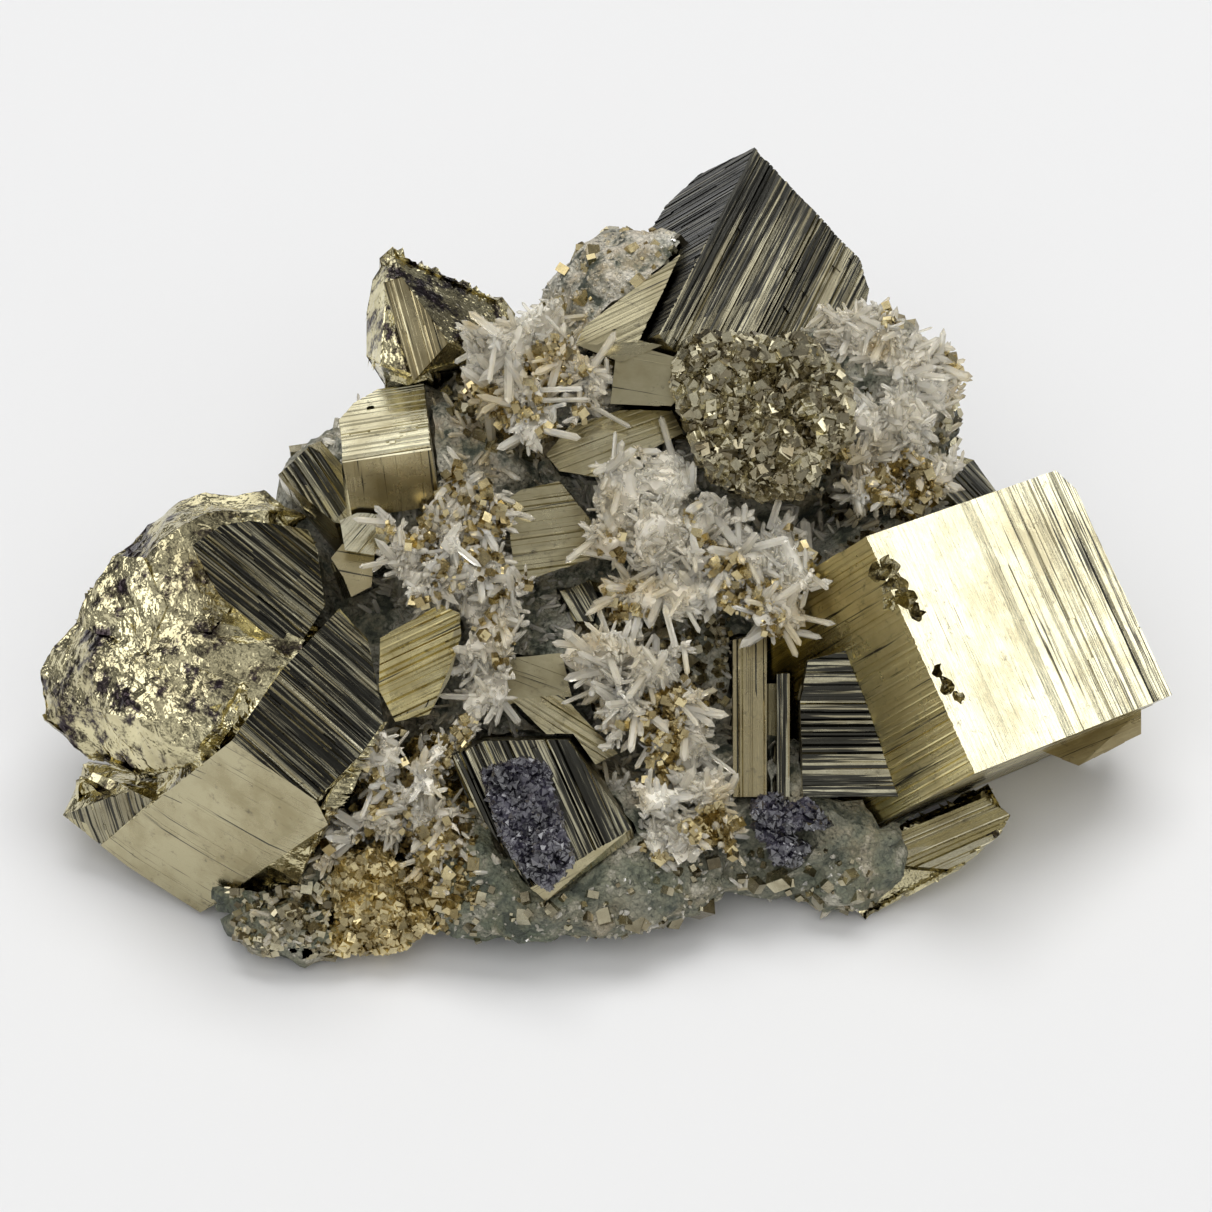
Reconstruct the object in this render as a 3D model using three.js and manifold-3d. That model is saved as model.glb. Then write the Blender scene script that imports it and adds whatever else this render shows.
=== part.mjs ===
// Pyrite with quartz: a hand specimen of cubic pyrite crystals and sprays of quartz needles that grew
// on a piece of gray-green rock. It rests on a flat break, with its crystal face leaning back.
import * as THREE from "three";
import { ConvexGeometry } from "three/addons/geometries/ConvexGeometry.js";
import { ConvexHull } from "three/addons/math/ConvexHull.js";
import { mergeVertices } from "three/addons/utils/BufferGeometryUtils.js";
import Module from "manifold-3d";

const wasm = await Module();
wasm.setup();

// Driving dimensions, in millimetres unless the name says otherwise.
// Crystals are placed on the crystal face as it is seen square on: across to the right, up along the
// face, and out toward the viewer. The face leans back, and faceHeight is its middle above the table.
const faceLean = THREE.MathUtils.degToRad(45);
const faceHeight = 18.2;
const eyeDistance = 405;
const joint = 0.3; // clear gap between one piece and the next
const grainCube = 1.5; // edge of the small pyrite cubes in a druse
const needleRadius = 0.55;
const needleTip = 1.3; // height of a needle's pointed end
const tableSide = 200;

// Colours, with roughness and metalness.
const finishes = {
  brassBright: { color: 0xd9cf9f, roughness: 0.22, metalness: 1 },
  brassDark: { color: 0x6b6550, roughness: 0.38, metalness: 1 },
  brassGrain: { color: 0x9a8c5c, roughness: 0.5, metalness: 1 },
  rock: { color: 0x8d9483, roughness: 0.9, metalness: 0 },
  quartz: { color: 0xe9e6dc, roughness: 0.15, metalness: 0 },
  blende: { color: 0x24202c, roughness: 0.25, metalness: 0.3 },
};

const acrossAxis = new THREE.Vector3(1, 0, 0);
const upAxis = new THREE.Vector3(0, Math.sin(faceLean), Math.cos(faceLean));
const outAxis = new THREE.Vector3(0, -Math.cos(faceLean), Math.sin(faceLean));

// A direction on the leaning face, as a vector in the specimen's frame.
function facing(across, up, out) {
  return new THREE.Vector3()
    .addScaledVector(acrossAxis, across)
    .addScaledVector(upAxis, up)
    .addScaledVector(outAxis, out)
    .normalize();
}

// The point that is seen at (across, up) and stands out from the face: nearer points look larger.
function seen(across, up, out) {
  const nearness = (eyeDistance - out) / eyeDistance;
  return new THREE.Vector3(0, 0, faceHeight)
    .addScaledVector(acrossAxis, across * nearness)
    .addScaledVector(upAxis, up * nearness)
    .addScaledVector(outAxis, out);
}

function seenAll(rows) {
  return rows.map(([across, up, out]) => seen(across, up, out));
}

function randomiser(seed) {
  let state = seed;
  return () => {
    state = (state + 0x6d2b79f5) | 0;
    let mixed = Math.imul(state ^ (state >>> 15), 1 | state);
    mixed = (mixed + Math.imul(mixed ^ (mixed >>> 7), 61 | mixed)) ^ mixed;
    return ((mixed ^ (mixed >>> 14)) >>> 0) / 2 ** 32;
  };
}

// Solids

function toSolid(geometry) {
  const plain = geometry.clone();
  plain.deleteAttribute("normal");
  plain.deleteAttribute("uv");
  const merged = mergeVertices(plain, 1e-4);
  const shape = new wasm.Mesh({
    numProp: 3,
    vertProperties: new Float32Array(merged.attributes.position.array),
    triVerts: new Uint32Array(merged.index.array),
  });
  return new wasm.Manifold(shape);
}

function hullSolid(points) {
  return toSolid(new ConvexGeometry(points));
}

// The same hull with each face moved out by the gap. Each face becomes a point at one over its distance
// from the middle, and the faces of those points' hull are the corners of the wider one.
function grown(points) {
  const middle = points.reduce((sum, point) => sum.add(point), new THREE.Vector3());
  middle.divideScalar(points.length);
  const faces = new ConvexHull().setFromPoints(points).faces;
  const inverse = faces.map(({ normal, constant }) =>
    normal.clone().divideScalar(constant - normal.dot(middle) + joint));
  const corners = new ConvexHull().setFromPoints(inverse).faces.map(({ normal, constant }) =>
    normal.clone().divideScalar(constant).add(middle));
  return hullSolid(corners);
}

function joinAll(solids) {
  return solids.reduce((whole, solid) => whole.add(solid));
}

function largestPiece(solid) {
  const pieces = solid.decompose();
  return pieces.reduce((best, piece) => (piece.volume() > best.volume() ? piece : best));
}

// Corners of a block from one corner, two edge directions and three lengths. The third edge is square
// to the first two, on the side away from the viewer.
function blockEdges(first, second) {
  const a = facing(...first);
  const b = facing(...second);
  b.addScaledVector(a, -a.dot(b)).normalize();
  const c = new THREE.Vector3().crossVectors(a, b);
  if (c.dot(outAxis) > 0) {
    c.negate();
  }
  return [a, b, c];
}

function blockPoint(corner, edges, along) {
  const point = corner.clone();
  edges.forEach((edge, k) => point.addScaledVector(edge, along[k]));
  return point;
}

function block(corner, edges, lengths) {
  const points = [];
  for (const a of [0, lengths[0]]) {
    for (const b of [0, lengths[1]]) {
      for (const c of [0, lengths[2]]) {
        points.push(blockPoint(corner, edges, [a, b, c]));
      }
    }
  }
  return points;
}

// A crystal face seen from the front, with the same outline again further back.
function slab(rows, depth, shrink = 0.85) {
  const front = seenAll(rows);
  const middle = front.reduce((sum, point) => sum.add(point), new THREE.Vector3());
  middle.divideScalar(front.length);
  const back = front.map((point) =>
    point.clone().lerp(middle, 1 - shrink).addScaledVector(outAxis, -depth));
  return [...front, ...back];
}

// Uneven swellings over all directions.
function ripple(way, seed) {
  return (
    Math.sin(way.x * 3.1 + seed) * Math.cos(way.y * 2.7 - seed) +
    0.6 * Math.sin(way.z * 5.3 + way.x * 4.1 + 2 * seed) +
    0.4 * Math.cos(way.y * 7.9 - way.z * 6.1 + 3 * seed)
  );
}

// A rounded stone: a swollen ball, its radii along the specimen's own axes.
function stone({ centre, radii, seed, detail = 1, rough = 0.045 }, extra = 0) {
  const ball = new THREE.IcosahedronGeometry(1, detail);
  const spots = ball.attributes.position;
  const way = new THREE.Vector3();
  for (let k = 0; k < spots.count; k += 1) {
    way.fromBufferAttribute(spots, k).normalize();
    const swell = 1 + rough * ripple(way, seed);
    spots.setXYZ(
      k,
      centre.x + way.x * (radii[0] * swell + extra),
      centre.y + way.y * (radii[1] * swell + extra),
      centre.z + way.z * (radii[2] * swell + extra),
    );
  }
  return toSolid(ball);
}

// Pyrite

const rightCubeEdges = blockEdges([0.728, 0.252, -0.637], [0.409, -0.906, 0.109]);
const rightCubeCorner = seen(20.1, 5.4, 8);

function rightCubes() {
  const [long, tall, deep] = [22.6, 19.8, 20];
  const clip = 1.2; // the worn upper right corner
  const at = (a, b, c) => blockPoint(rightCubeCorner, rightCubeEdges, [a, b, c]);
  const cube = [
    ...block(rightCubeCorner, rightCubeEdges, [long - clip, tall, deep]),
    at(long, clip * 1.6, 0),
    at(long, clip * 1.6, deep),
    at(long, tall, 0),
    at(long, tall, deep),
  ];
  const grownIn = slab(
    [[15.2, -14.8, 4.2], [22.6, -14.8, 3.2], [20.4, -7.3, 3.2], [18.6, -3.4, 3], [15.6, -4.2, 3.4],
      [15, -7.3, 3.8]],
    10,
    1,
  );
  const step = slab([[33.5, -11.2, -1], [36.6, -12.4, -1], [41.4, -9.9, -4], [41.4, -8, -5]], 7);
  return [cube, grownIn, step];
}

function pillars() {
  const foot = -14.8;
  const tall = slab([[9.8, foot, 3], [12.5, foot, 3], [12.5, -2, 1], [9.8, -2.6, 1]], 9, 1);
  const slim = slab([[13.2, foot, 2.6], [14.25, foot, 2.6], [14.25, -5.2, 1.4], [13.2, -5.2, 1.4]], 8, 1);
  const bridge = slab([[10.5, foot, -2.5], [14.25, foot, -2.5], [14.25, -6, -3], [10.5, -6, -3]], 5, 1);
  return [tall, slim, bridge];
}

function topCube() {
  const corner = seen(11.5, 35.5, -9);
  const edges = blockEdges([0.658, -0.652, -0.377], [-0.353, -0.71, 0.61]);
  const [long, tall, deep] = [15.4, 21.8, 9.6];
  const rows = [
    [0, 0, 0], [13.3, 0, 0], [15, 1.5, 0], [long, 2.8, 0], [long, tall, 0], [0, tall, 0],
    [0, 0, 6.5], [13.3, 0, 6.5], [long, 2.8, 6.5], [0, 2.4, 9.2], [14, 2.4, 9.2],
    [0, 4.1, deep], [14.4, 4.1, deep], [14.4, tall, deep], [0, tall, deep],
  ];
  return [rows.map((row) => blockPoint(corner, edges, row))];
}

function upperBlock() {
  const flat = slab(
    [[0.7, 19, 3.8], [3.4, 19.8, 3.8], [6.2, 19, 3.8], [6.6, 17, 3.8], [5, 15.4, 3.8], [0.3, 15.6, 3.8]],
    9,
  );
  const brown = slab(
    [[-2.4, 20.2, 2.6], [-1.6, 21.7, 1.2], [2.6, 24.8, -1.6], [5.7, 27.2, -3], [7.4, 24.4, 0.6],
      [5.4, 20.6, 4], [1.1, 18.8, 4.2]],
    9,
  );
  return [flat, brown];
}

function peak() {
  return [seenAll([
    [-16.5, 27.8, -6], [-17.5, 26.9, -6.5], [-18.5, 25.4, -6.5], [-19, 22.7, -6], [-19, 19.2, -5],
    [-17.2, 25, -3], [-17.7, 18.4, -0.5], [-14.9, 17.4, 0.5], [-12.2, 20.4, -1], [-15.8, 25.4, -3.4],
    [-13.1, 26, -7.6], [-10.5, 24.7, -8.4], [-8, 23.9, -9], [-7, 22.6, -9], [-9, 19, -5],
    [-17.5, 22, -13], [-12, 22, -14], [-9, 18, -13], [-17, 16, -9],
  ])];
}

function smallCube() {
  const corner = seen(-20.4, 11.1, 4.6);
  const edges = blockEdges([0.985, 0.14, 0], [-0.04, 0.62, -0.78]);
  const [long, deep, tall] = [6.9, 9, 5.5];
  const worn = 2;
  const at = (a, b, c) => blockPoint(corner, edges, [a, b, c]);
  return [[
    at(0, 0, 0), at(long, 0, 0), at(0, 0, tall), at(long, 0, tall),
    at(long, deep, 0), at(long, deep, tall), at(worn * 1.6, deep, 0), at(worn * 1.6, deep, tall),
    at(worn * 0.6, deep - worn * 0.7, 0), at(worn * 0.6, deep - worn * 0.7, tall),
    at(0, deep - worn * 1.6, 0), at(0, deep - worn * 1.6, tall),
  ]];
}

function wedge() {
  const dark = seenAll([
    [-23, 12.4, -1], [-25.4, 10.2, 1], [-21, 6.5, 1.6], [-19.6, 8.2, 0.6], [-22.1, 11.9, -0.8],
    [-22, 12.8, -2.4], [-15.9, 5.6, 0.4], [-25, 9, -7], [-22, 11, -9], [-16.5, 4, -7], [-20, 3, -6],
  ]);
  const beige = slab([[-20.6, 6.6, 2.4], [-17.9, 7.8, 1.6], [-15.9, 5.6, 1.8], [-17.9, 3.9, 2.8],
    [-20.2, 4.3, 3]], 6);
  const brown = slab([[-21.7, 3.2, 1.8], [-20.4, 4.8, 1.2], [-17.8, 4.6, 1.2], [-18.1, 1.5, 2.2],
    [-20.6, 0.2, 2.6]], 7);
  return [dark, beige, brown];
}

function leftMass() {
  const mainBlock = seenAll([
    [-28.9, -10.4, 14], [-22.5, -15, 14], [-25, -4.9, 9.3], [-20.6, -0.2, 4.8], [-18.4, -2.6, 5.3],
    [-17.6, -6.5, 7.2], [-17.2, -9, 8.4], [-19, -11.5, 10.6], [-20.8, -13.5, 12.4],
    [-31, -12.7, 9.6], [-34.5, -15, 4], [-36.3, -17.4, -0.3], [-28.1, -22.6, 0.5],
    [-25.6, -22, 3.4], [-24, -21.6, 4.6], [-21.5, -16.9, 12.4],
    [-31.4, -23.7, -0.9], [-36.8, -20.3, -1.8], [-39.1, -18.5, -2.4],
    [-30, -8, -8], [-20, -3, -6], [-20, -12, -8], [-34, -12, -9],
  ]);
  const upperFace = seenAll([
    [-32, 4.7, 5.2], [-29.7, 6.3, 3.4], [-27.5, 6.6, 2.4], [-25.1, 6.3, 1.5], [-23, 5.9, 0.8],
    [-22.3, 4.3, 1.5], [-21.7, 0.1, 3.6], [-23.7, -3, 6.2], [-26.6, -1.9, 6.8], [-29.9, 0.9, 6.5],
    [-30, 4, -7], [-23, 3, -7], [-23, -4, -6], [-30, -3, -6],
  ]);
  const cornerCube = seenAll([
    [-42, -16.2, -2.2], [-41.4, -13.3, -0.8], [-40.4, -12.7, -0.2], [-36.8, -14.2, 2.4],
    [-35.1, -15, 3], [-37.4, -17.8, -0.4], [-39.1, -18.5, -2.4], [-40, -12, -8], [-34, -13, -8],
    [-36, -16, -7],
  ]);
  const brokenUpper = seenAll([
    [-22.9, 7, -1.5], [-26.4, 9.1, -3], [-29.5, 9.2, -3], [-31, 9, -3], [-32, 8, -2.6],
    [-35.5, 6.4, -3], [-36, 5.9, -3], [-38.3, 3.9, -3.4], [-39.1, 2.6, -3.4], [-33, 6, 2.6],
    [-36, 3, 2], [-30.5, 7.6, 1.4], [-26, 7.6, 0.4], [-30.5, -2, 6.4], [-36.5, -1, 3.6],
    [-34, 4, -11], [-26, 6, -11], [-27, -4, -9], [-38, -2, -9],
  ]);
  const brokenLower = seenAll([
    [-40.3, 0.7, -2.6], [-41.8, -1.6, -2.4], [-43.4, -3.8, -2], [-43.9, -4.9, -1.8], [-44.1, -7, -1.4],
    [-44.1, -9, -1], [-42.6, -10.4, -0.4], [-40.4, -12.3, 0.4], [-36, -14, 4], [-31.5, -12.4, 8.8],
    [-29.3, -9.6, 11.2], [-27, -4, 7], [-33, -2.4, 5.4], [-38.5, -3, 3], [-40.5, -8, 3.4],
    [-37, -8.6, 6.2], [-40, -2, -9], [-40, -8, -9], [-30, -4, -9], [-32, -11, -9],
  ]);
  return [mainBlock, upperFace, cornerCube, brokenUpper, brokenLower];
}

function golden() {
  return [slab([
    [-17.6, -6.5, 6], [-17.5, -2.4, 5.4], [-12.8, 0.2, 3.6], [-11.3, -0.5, 3.4], [-11.1, -2.2, 3.6],
    [-12.1, -5.7, 4.4], [-13.6, -8.4, 5.4], [-16.3, -9, 6.2],
  ], 9)];
}

function bottomCube() {
  return [seenAll([
    [-12, -11.6, 4.6], [-9.4, -10.4, 4.4], [-2.9, -10.3, 4.6], [2, -17.2, 7], [-5.9, -21.8, 9],
    [-11, -14.4, 6], [2.2, -17.9, 5.6], [-4.7, -22.9, 7.4], [-9.5, -10, -5], [-2, -10, -5],
    [2, -16.5, -2], [-4.5, -20.5, 0], [-10, -14, -4],
  ])];
}

function centre() {
  return [slab([
    [-7.8, 8.2, 2.6], [-6.6, 9, 2.2], [-3.6, 9.7, 1.6], [-1.1, 6.6, 1.6], [-1.2, 3.6, 2.2], [-7, 1.6, 3.6],
  ], 9)];
}

function centreUpper() {
  return [slab([
    [-4.7, 11.7, 2.4], [-2.8, 14, 1.6], [1.1, 15.2, 1.2], [5.1, 15.2, 1], [6, 13.4, 1.6],
    [-0.5, 9.9, 3.2], [-3.6, 10.4, 3],
  ], 8, 0.95)];
}

function lowCentre() {
  const olive = slab([[-8.2, -4, 0.6], [-3.4, -3.6, 0.4], [-2.6, -7, 1], [-7.6, -7.6, 1.2]], 6);
  const ribbed = slab([[-7.4, -7.2, 2], [-3.4, -6.8, 1.6], [1, -11.4, 2.6], [-1.8, -12.8, 3.2]], 7);
  return [olive, ribbed];
}

function cavityCrystal() {
  return [slab([[-3.6, 1.2, -1.2], [-1.2, 2, -1.6], [-0.5, 0.5, -1.2], [-0.9, -1.2, -0.8],
    [-2.5, -1.2, -0.8]], 4, 1)];
}

function lowerRight() {
  return [seenAll([
    [17.7, -19.6, 0.4], [22.7, -17.3, -1.4], [29.3, -14.8, -3.4], [31.3, -16.2, -3], [30.5, -17.7, -2],
    [27.4, -20.4, -0.6], [23.1, -22.7, -0.4], [20, -24.3, -1.2], [18.6, -22.7, -0.6],
    [20, -16, -8], [29, -12, -9.5], [28, -14, -11.4],
  ])];
}

function darkCorner() {
  return [seenAll([
    [27, 11.7, -8.6], [28.5, 11.3, -9], [30.2, 8.9, -9.4], [27.4, 7.6, -7.6], [25.4, 9.6, -7],
    [24, 12, -15], [28.5, 9, -17], [29.5, 3, -15], [24, 4, -13],
  ])];
}

// A block turned freely about its middle.
function blockAround(middle, edges, lengths) {
  const half = lengths.map((length) => -length / 2);
  return block(blockPoint(middle, edges, half), edges, lengths);
}

function backCubes() {
  const upperEdges = blockEdges([0.8, 0.5, 0.3], [-0.5, 0.8, 0.2]);
  const lowerEdges = blockEdges([0.7, 0.2, 0.6], [-0.5, 0.8, 0.3]);
  return {
    upper: blockAround(new THREE.Vector3(13, 23, 9), upperEdges, [10, 9, 9]),
    lower: blockAround(new THREE.Vector3(-11, 22.5, 8), lowerEdges, [7.5, 7.5, 8]),
  };
}

// Small cubes at random turns, half sunk in a face whose outline is seen from the front.
function grains(rows, count, size, seed) {
  const random = randomiser(seed);
  const rim = seenAll(rows);
  const middle = rim.reduce((sum, point) => sum.add(point), new THREE.Vector3());
  middle.divideScalar(rim.length);
  const cubes = [];
  for (let k = 0; k < count; k += 1) {
    const first = rim[k % rim.length];
    const second = rim[(k + 1) % rim.length];
    const foot = middle.clone().lerp(first.clone().lerp(second, random()), Math.sqrt(random()) * 0.96);
    const edge = size * (0.7 + 0.7 * random());
    const turn = new THREE.Euler(random() * 3, random() * 3, random() * 3);
    const spots = new THREE.BoxGeometry(edge, edge, edge).attributes.position;
    cubes.push(Array.from({ length: spots.count }, (_, spot) =>
      new THREE.Vector3().fromBufferAttribute(spots, spot).applyEuler(turn).add(foot)));
  }
  return cubes;
}

function druseBlock() {
  const rows = [
    [5.9, 19.6, 4], [6.8, 20.6, 3.4], [10.4, 20.8, 3], [15, 20.2, 2.6], [17.3, 19, 2.6], [18.5, 17.5, 3],
    [18.6, 15.2, 4], [16.7, 10.7, 5.4], [15, 8.6, 5.6], [11.9, 8.5, 6], [8.8, 9.8, 6], [7.5, 11.3, 6],
    [5.2, 17.3, 5],
  ];
  return [slab(rows, 9, 0.95), ...grains(rows, 22, grainCube * 1.3, 5)];
}

function druseLower() {
  const rows = [
    [-21, -20.6, 5.4], [-19, -19.2, 5], [-14.6, -20.4, 5], [-14, -25, 4.8], [-16, -26.6, 4],
    [-20.8, -26.8, 4],
  ];
  return [slab(rows, 5), ...grains(rows, 9, grainCube, 8)];
}

// Sphalerite

function blendeCrust() {
  const sheet = slab([
    [-9.6, -12.8, 7], [-6.4, -11.8, 6.6], [-4.4, -13.6, 7.2], [-4.2, -17, 8.6], [-2.6, -19.8, 9.6],
    [-4.4, -21.8, 10.2], [-6.4, -20.6, 9.8], [-8.4, -17, 8.4],
  ], 4, 1);
  const spots = [
    [-8.2, -13.6, 6.6, 1.6], [-5.6, -13, 6.8, 1.6], [-6.2, -15.8, 7.6, 2], [-4.6, -19.4, 9.2, 1.9],
  ];
  const knobs = spots.map(([across, up, out, size], k) => grainCluster(seen(across, up, out), size, k));
  return [sheet, ...knobs];
}

// A rough knob: the hull of a few points on a ball.
function grainCluster(middle, size, seed) {
  const random = randomiser(40 + seed);
  return Array.from({ length: 11 }, () =>
    new THREE.Vector3(random() - 0.5, random() - 0.5, random() - 0.5)
      .normalize().multiplyScalar(size * (0.8 + 0.3 * random())).add(middle));
}

function blendePatch() {
  const spots = [[12.8, -16.4, 3.6, 2], [15.2, -16.8, 3.8, 2.1], [14, -18.6, 3.4, 2], [12.2, -19.8, 3.2, 2],
    [10.4, -19.8, 3, 1.8]];
  return spots.map(([across, up, out, size], k) => grainCluster(seen(across, up, out), size, 20 + k));
}

// Quartz

function needle(foot, way, length, radius, turn) {
  const side = new THREE.Vector3(way.y, way.z, way.x).cross(way).normalize();
  const other = new THREE.Vector3().crossVectors(way, side);
  const points = [foot.clone().addScaledVector(way, length)];
  for (let k = 0; k < 6; k += 1) {
    const angle = turn + (k * Math.PI) / 3;
    const rim = foot.clone()
      .addScaledVector(side, radius * Math.cos(angle))
      .addScaledVector(other, radius * Math.sin(angle));
    points.push(rim, rim.clone().addScaledVector(way, length - needleTip));
  }
  return points;
}

// A cluster: rough knobs as its root, and needles that spread from them toward the viewer.
function spray({ knobs, count, length, spread, seed }) {
  const random = randomiser(seed);
  const roots = knobs.map(([across, up, out, size], k) =>
    grainCluster(seen(across, up, out), size, seed + k));
  const needles = [];
  for (let k = 0; k < count; k += 1) {
    const [across, up, out, size] = knobs[k % knobs.length];
    const lean = [(random() - 0.5) * spread, (random() - 0.5) * spread, 0.35 + random() * 0.65];
    const way = facing(...lean);
    const foot = seen(across, up, out).addScaledVector(way, size * 0.4);
    const reach = size * 0.6 + length * (0.6 + 0.4 * random());
    needles.push(needle(foot, way, reach, needleRadius * (0.8 + 0.5 * random()), random() * 3));
  }
  return [...roots, ...needles];
}

// A patch of quartz knobs on the hidden side.
function backQuartz() {
  const spots = [[-1, 24.5, 13, 3.4], [2.6, 25.4, 10.6, 3], [-3.6, 25, 9.6, 3], [0.4, 25.2, 7, 2.8]];
  return spots.map(([x, y, z, size], k) => grainCluster(new THREE.Vector3(x, y, z), size, 60 + k));
}

const sprays = {
  quartz_upper_left: {
    knobs: [[-8.4, 20.2, 0, 3.4], [-5.4, 21, 0, 3.4], [-3.4, 17.6, 1.4, 3.6], [-8.8, 16.4, 1.2, 3.6],
      [-4.8, 14.6, 2, 3], [-0.8, 17.2, 1.6, 2.4], [-9.4, 12.8, 2, 2.8]],
    count: 8, length: 2.4, spread: 2.4, seed: 11,
  },
  quartz_center_left: {
    knobs: [[-12.4, 7.6, 2, 3.4], [-9.4, 6.6, 2, 3], [-15, 4.2, 2.4, 3], [-11.4, 3.6, 2.8, 3.6],
      [-14.6, 1.6, 2.6, 2.6], [-8.6, 0.4, 2, 3], [-9.2, -3, 2, 2.8], [-9.6, -6.4, 2, 2.4]],
    count: 7, length: 1.8, spread: 2.4, seed: 23,
  },
  quartz_center: {
    knobs: [[1, 9, 2.4, 3], [4.8, 9.6, 2.4, 3], [-0.2, 5.8, 2.6, 3], [4.2, 5.4, 3, 3.6],
      [8, 6, 3, 3.2], [10.4, 2.4, 3, 3.4], [6.4, 1.4, 2.8, 3.2], [13.8, 3.6, 2.6, 3.2], [13.6, -0.2, 3, 2.6],
      [2.4, 1, 2.4, 2.8]],
    count: 9, length: 1.9, spread: 2.4, seed: 31,
  },
  quartz_lower_center: {
    knobs: [[0, -3.2, 3.4, 3.2], [3, -4.6, 3.4, 3.2], [1.6, -8, 3.4, 3], [5, -8, 3.2, 3.2],
      [7.2, -4.8, 2.6, 2.8], [6, -10.8, 3, 3]],
    count: 6, length: 2, spread: 2.6, seed: 47,
  },
  quartz_upper_right: {
    knobs: [[20.2, 20.2, -3.6, 4], [23.6, 18.4, -4.6, 4.2], [23, 15.2, -3, 3.8], [21.8, 11.6, -1.4, 3.8],
      [24.8, 9.6, -3.4, 3.2], [20.8, 15.8, -1.6, 3.8], [20.6, 8.4, 0, 2.8]],
    count: 5, length: 1.5, spread: 2.6, seed: 53,
  },
  quartz_lower_left: {
    knobs: [[-17.6, -11.6, 5, 2.6], [-14.6, -13, 4, 3], [-13.6, -16.6, 4, 3], [-17.4, -16, 4.2, 3],
      [-19.8, -18.2, 4, 2.8], [-12.4, -19.4, 4.2, 3], [-12.6, -10.2, 3.2, 3]],
    count: 5, length: 1.6, spread: 2.6, seed: 61,
  },
  quartz_bottom_center: {
    knobs: [[4.2, -14.6, 3.6, 2.8], [7.6, -14.2, 3.4, 2.8], [6, -17.8, 3.8, 2.8], [9, -17.2, 3.4, 2.6],
      [3.8, -18.6, 3.6, 2.4]],
    count: 4, length: 1.4, spread: 2.6, seed: 71,
  },
};

// Rock

const stones = [
  { centre: new THREE.Vector3(-1, 9.6, 7), radii: [31, 16, 11.2], seed: 1.3, detail: 2 },
  { centre: new THREE.Vector3(3, 17.6, 18.2), radii: [19, 9.5, 12.6], seed: 2.1, detail: 2 },
  { centre: new THREE.Vector3(-14, 12.4, 13.6), radii: [13, 10, 13.2], seed: 3.7 },
  { centre: new THREE.Vector3(22, 6, 11), radii: [10, 10, 10], seed: 4.4 },
  { centre: new THREE.Vector3(-27, -2, 8), radii: [11, 11, 8], seed: 5.2 },
  { centre: new THREE.Vector3(-5, -12.5, 5), radii: [16, 9.6, 4.6], seed: 6.1, detail: 2 },
  { centre: new THREE.Vector3(11, -9.5, 5), radii: [13, 8, 4.6], seed: 7.7 },
  { centre: new THREE.Vector3(18.5, -12.5, 3.5), radii: [5, 5, 3.6], seed: 7.1 },
  { centre: new THREE.Vector3(-23, -14.5, 3.6), radii: [8.5, 5.5, 4.2], seed: 8.5 },
  { centre: new THREE.Vector3(-23.5, -18.5, 2.6), radii: [5.5, 3.6, 2.8], seed: 8.8 },
  { centre: new THREE.Vector3(3, 22.6, 26.6), radii: [8.4, 6.5, 9], seed: 9.2 },
  { centre: new THREE.Vector3(19, 17, 21), radii: [9, 7, 10], seed: 10.4 },
];

const table = toSolid(
  new THREE.BoxGeometry(tableSide, tableSide, tableSide).translate(0, 0, -tableSide / 2),
);

// Pieces

const group = new THREE.Group();
group.name = "pyrite_with_quartz";
let taken = null;

function keep(name, solid, finish) {
  const shape = solid.getMesh();
  const geometry = new THREE.BufferGeometry();
  geometry.setAttribute("position", new THREE.BufferAttribute(new Float32Array(shape.vertProperties), 3));
  geometry.setIndex(new THREE.BufferAttribute(new Uint32Array(shape.triVerts), 1));
  geometry.computeVertexNormals();
  const mesh = new THREE.Mesh(geometry, new THREE.MeshStandardMaterial(finishes[finish]));
  mesh.name = name;
  group.add(mesh);
}

// Adds a piece, cut by what is already there, and keeps its own room clear of the pieces that follow.
// The room is one plain hull, or follows each of the piece's crystals closely.
function addPiece(name, hulls, finish, closeRoom = false) {
  let solid = joinAll(hulls.map(hullSolid)).subtract(table);
  if (taken) {
    solid = solid.subtract(taken);
  }
  keep(name, largestPiece(solid), finish);
  const room = closeRoom ? joinAll(hulls.map(grown)) : grown(hulls.flat());
  taken = taken ? taken.add(room) : room;
}

addPiece("pyrite_right_cubes", rightCubes(), "brassBright", true);
addPiece("pyrite_top_cube", topCube(), "brassDark");
addPiece("pyrite_left_mass", leftMass(), "brassDark");
addPiece("pyrite_bottom", bottomCube(), "brassDark");
addPiece("pyrite_small_cube", smallCube(), "brassBright");
addPiece("pyrite_golden", golden(), "brassBright");
addPiece("pyrite_pillars", pillars(), "brassDark", true);
addPiece("pyrite_peak", peak(), "brassDark", true);
addPiece("pyrite_wedge", wedge(), "brassDark");
addPiece("pyrite_druse_block", druseBlock(), "brassGrain");
addPiece("pyrite_upper_block", upperBlock(), "brassDark", true);
addPiece("pyrite_center", centre(), "brassDark");
addPiece("pyrite_center_upper", centreUpper(), "brassDark");
addPiece("pyrite_low_center", lowCentre(), "brassDark");
addPiece("pyrite_cavity", cavityCrystal(), "brassDark");
addPiece("pyrite_lower_right", lowerRight(), "brassBright");
addPiece("pyrite_dark_corner", darkCorner(), "brassDark");
const back = backCubes();
addPiece("pyrite_back_upper", [back.upper], "brassDark");
addPiece("pyrite_back_lower", [back.lower], "brassDark");
addPiece("pyrite_druse_lower", druseLower(), "brassGrain");
addPiece("sphalerite_crust", blendeCrust(), "blende");
addPiece("sphalerite_patch", blendePatch(), "blende");

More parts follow.
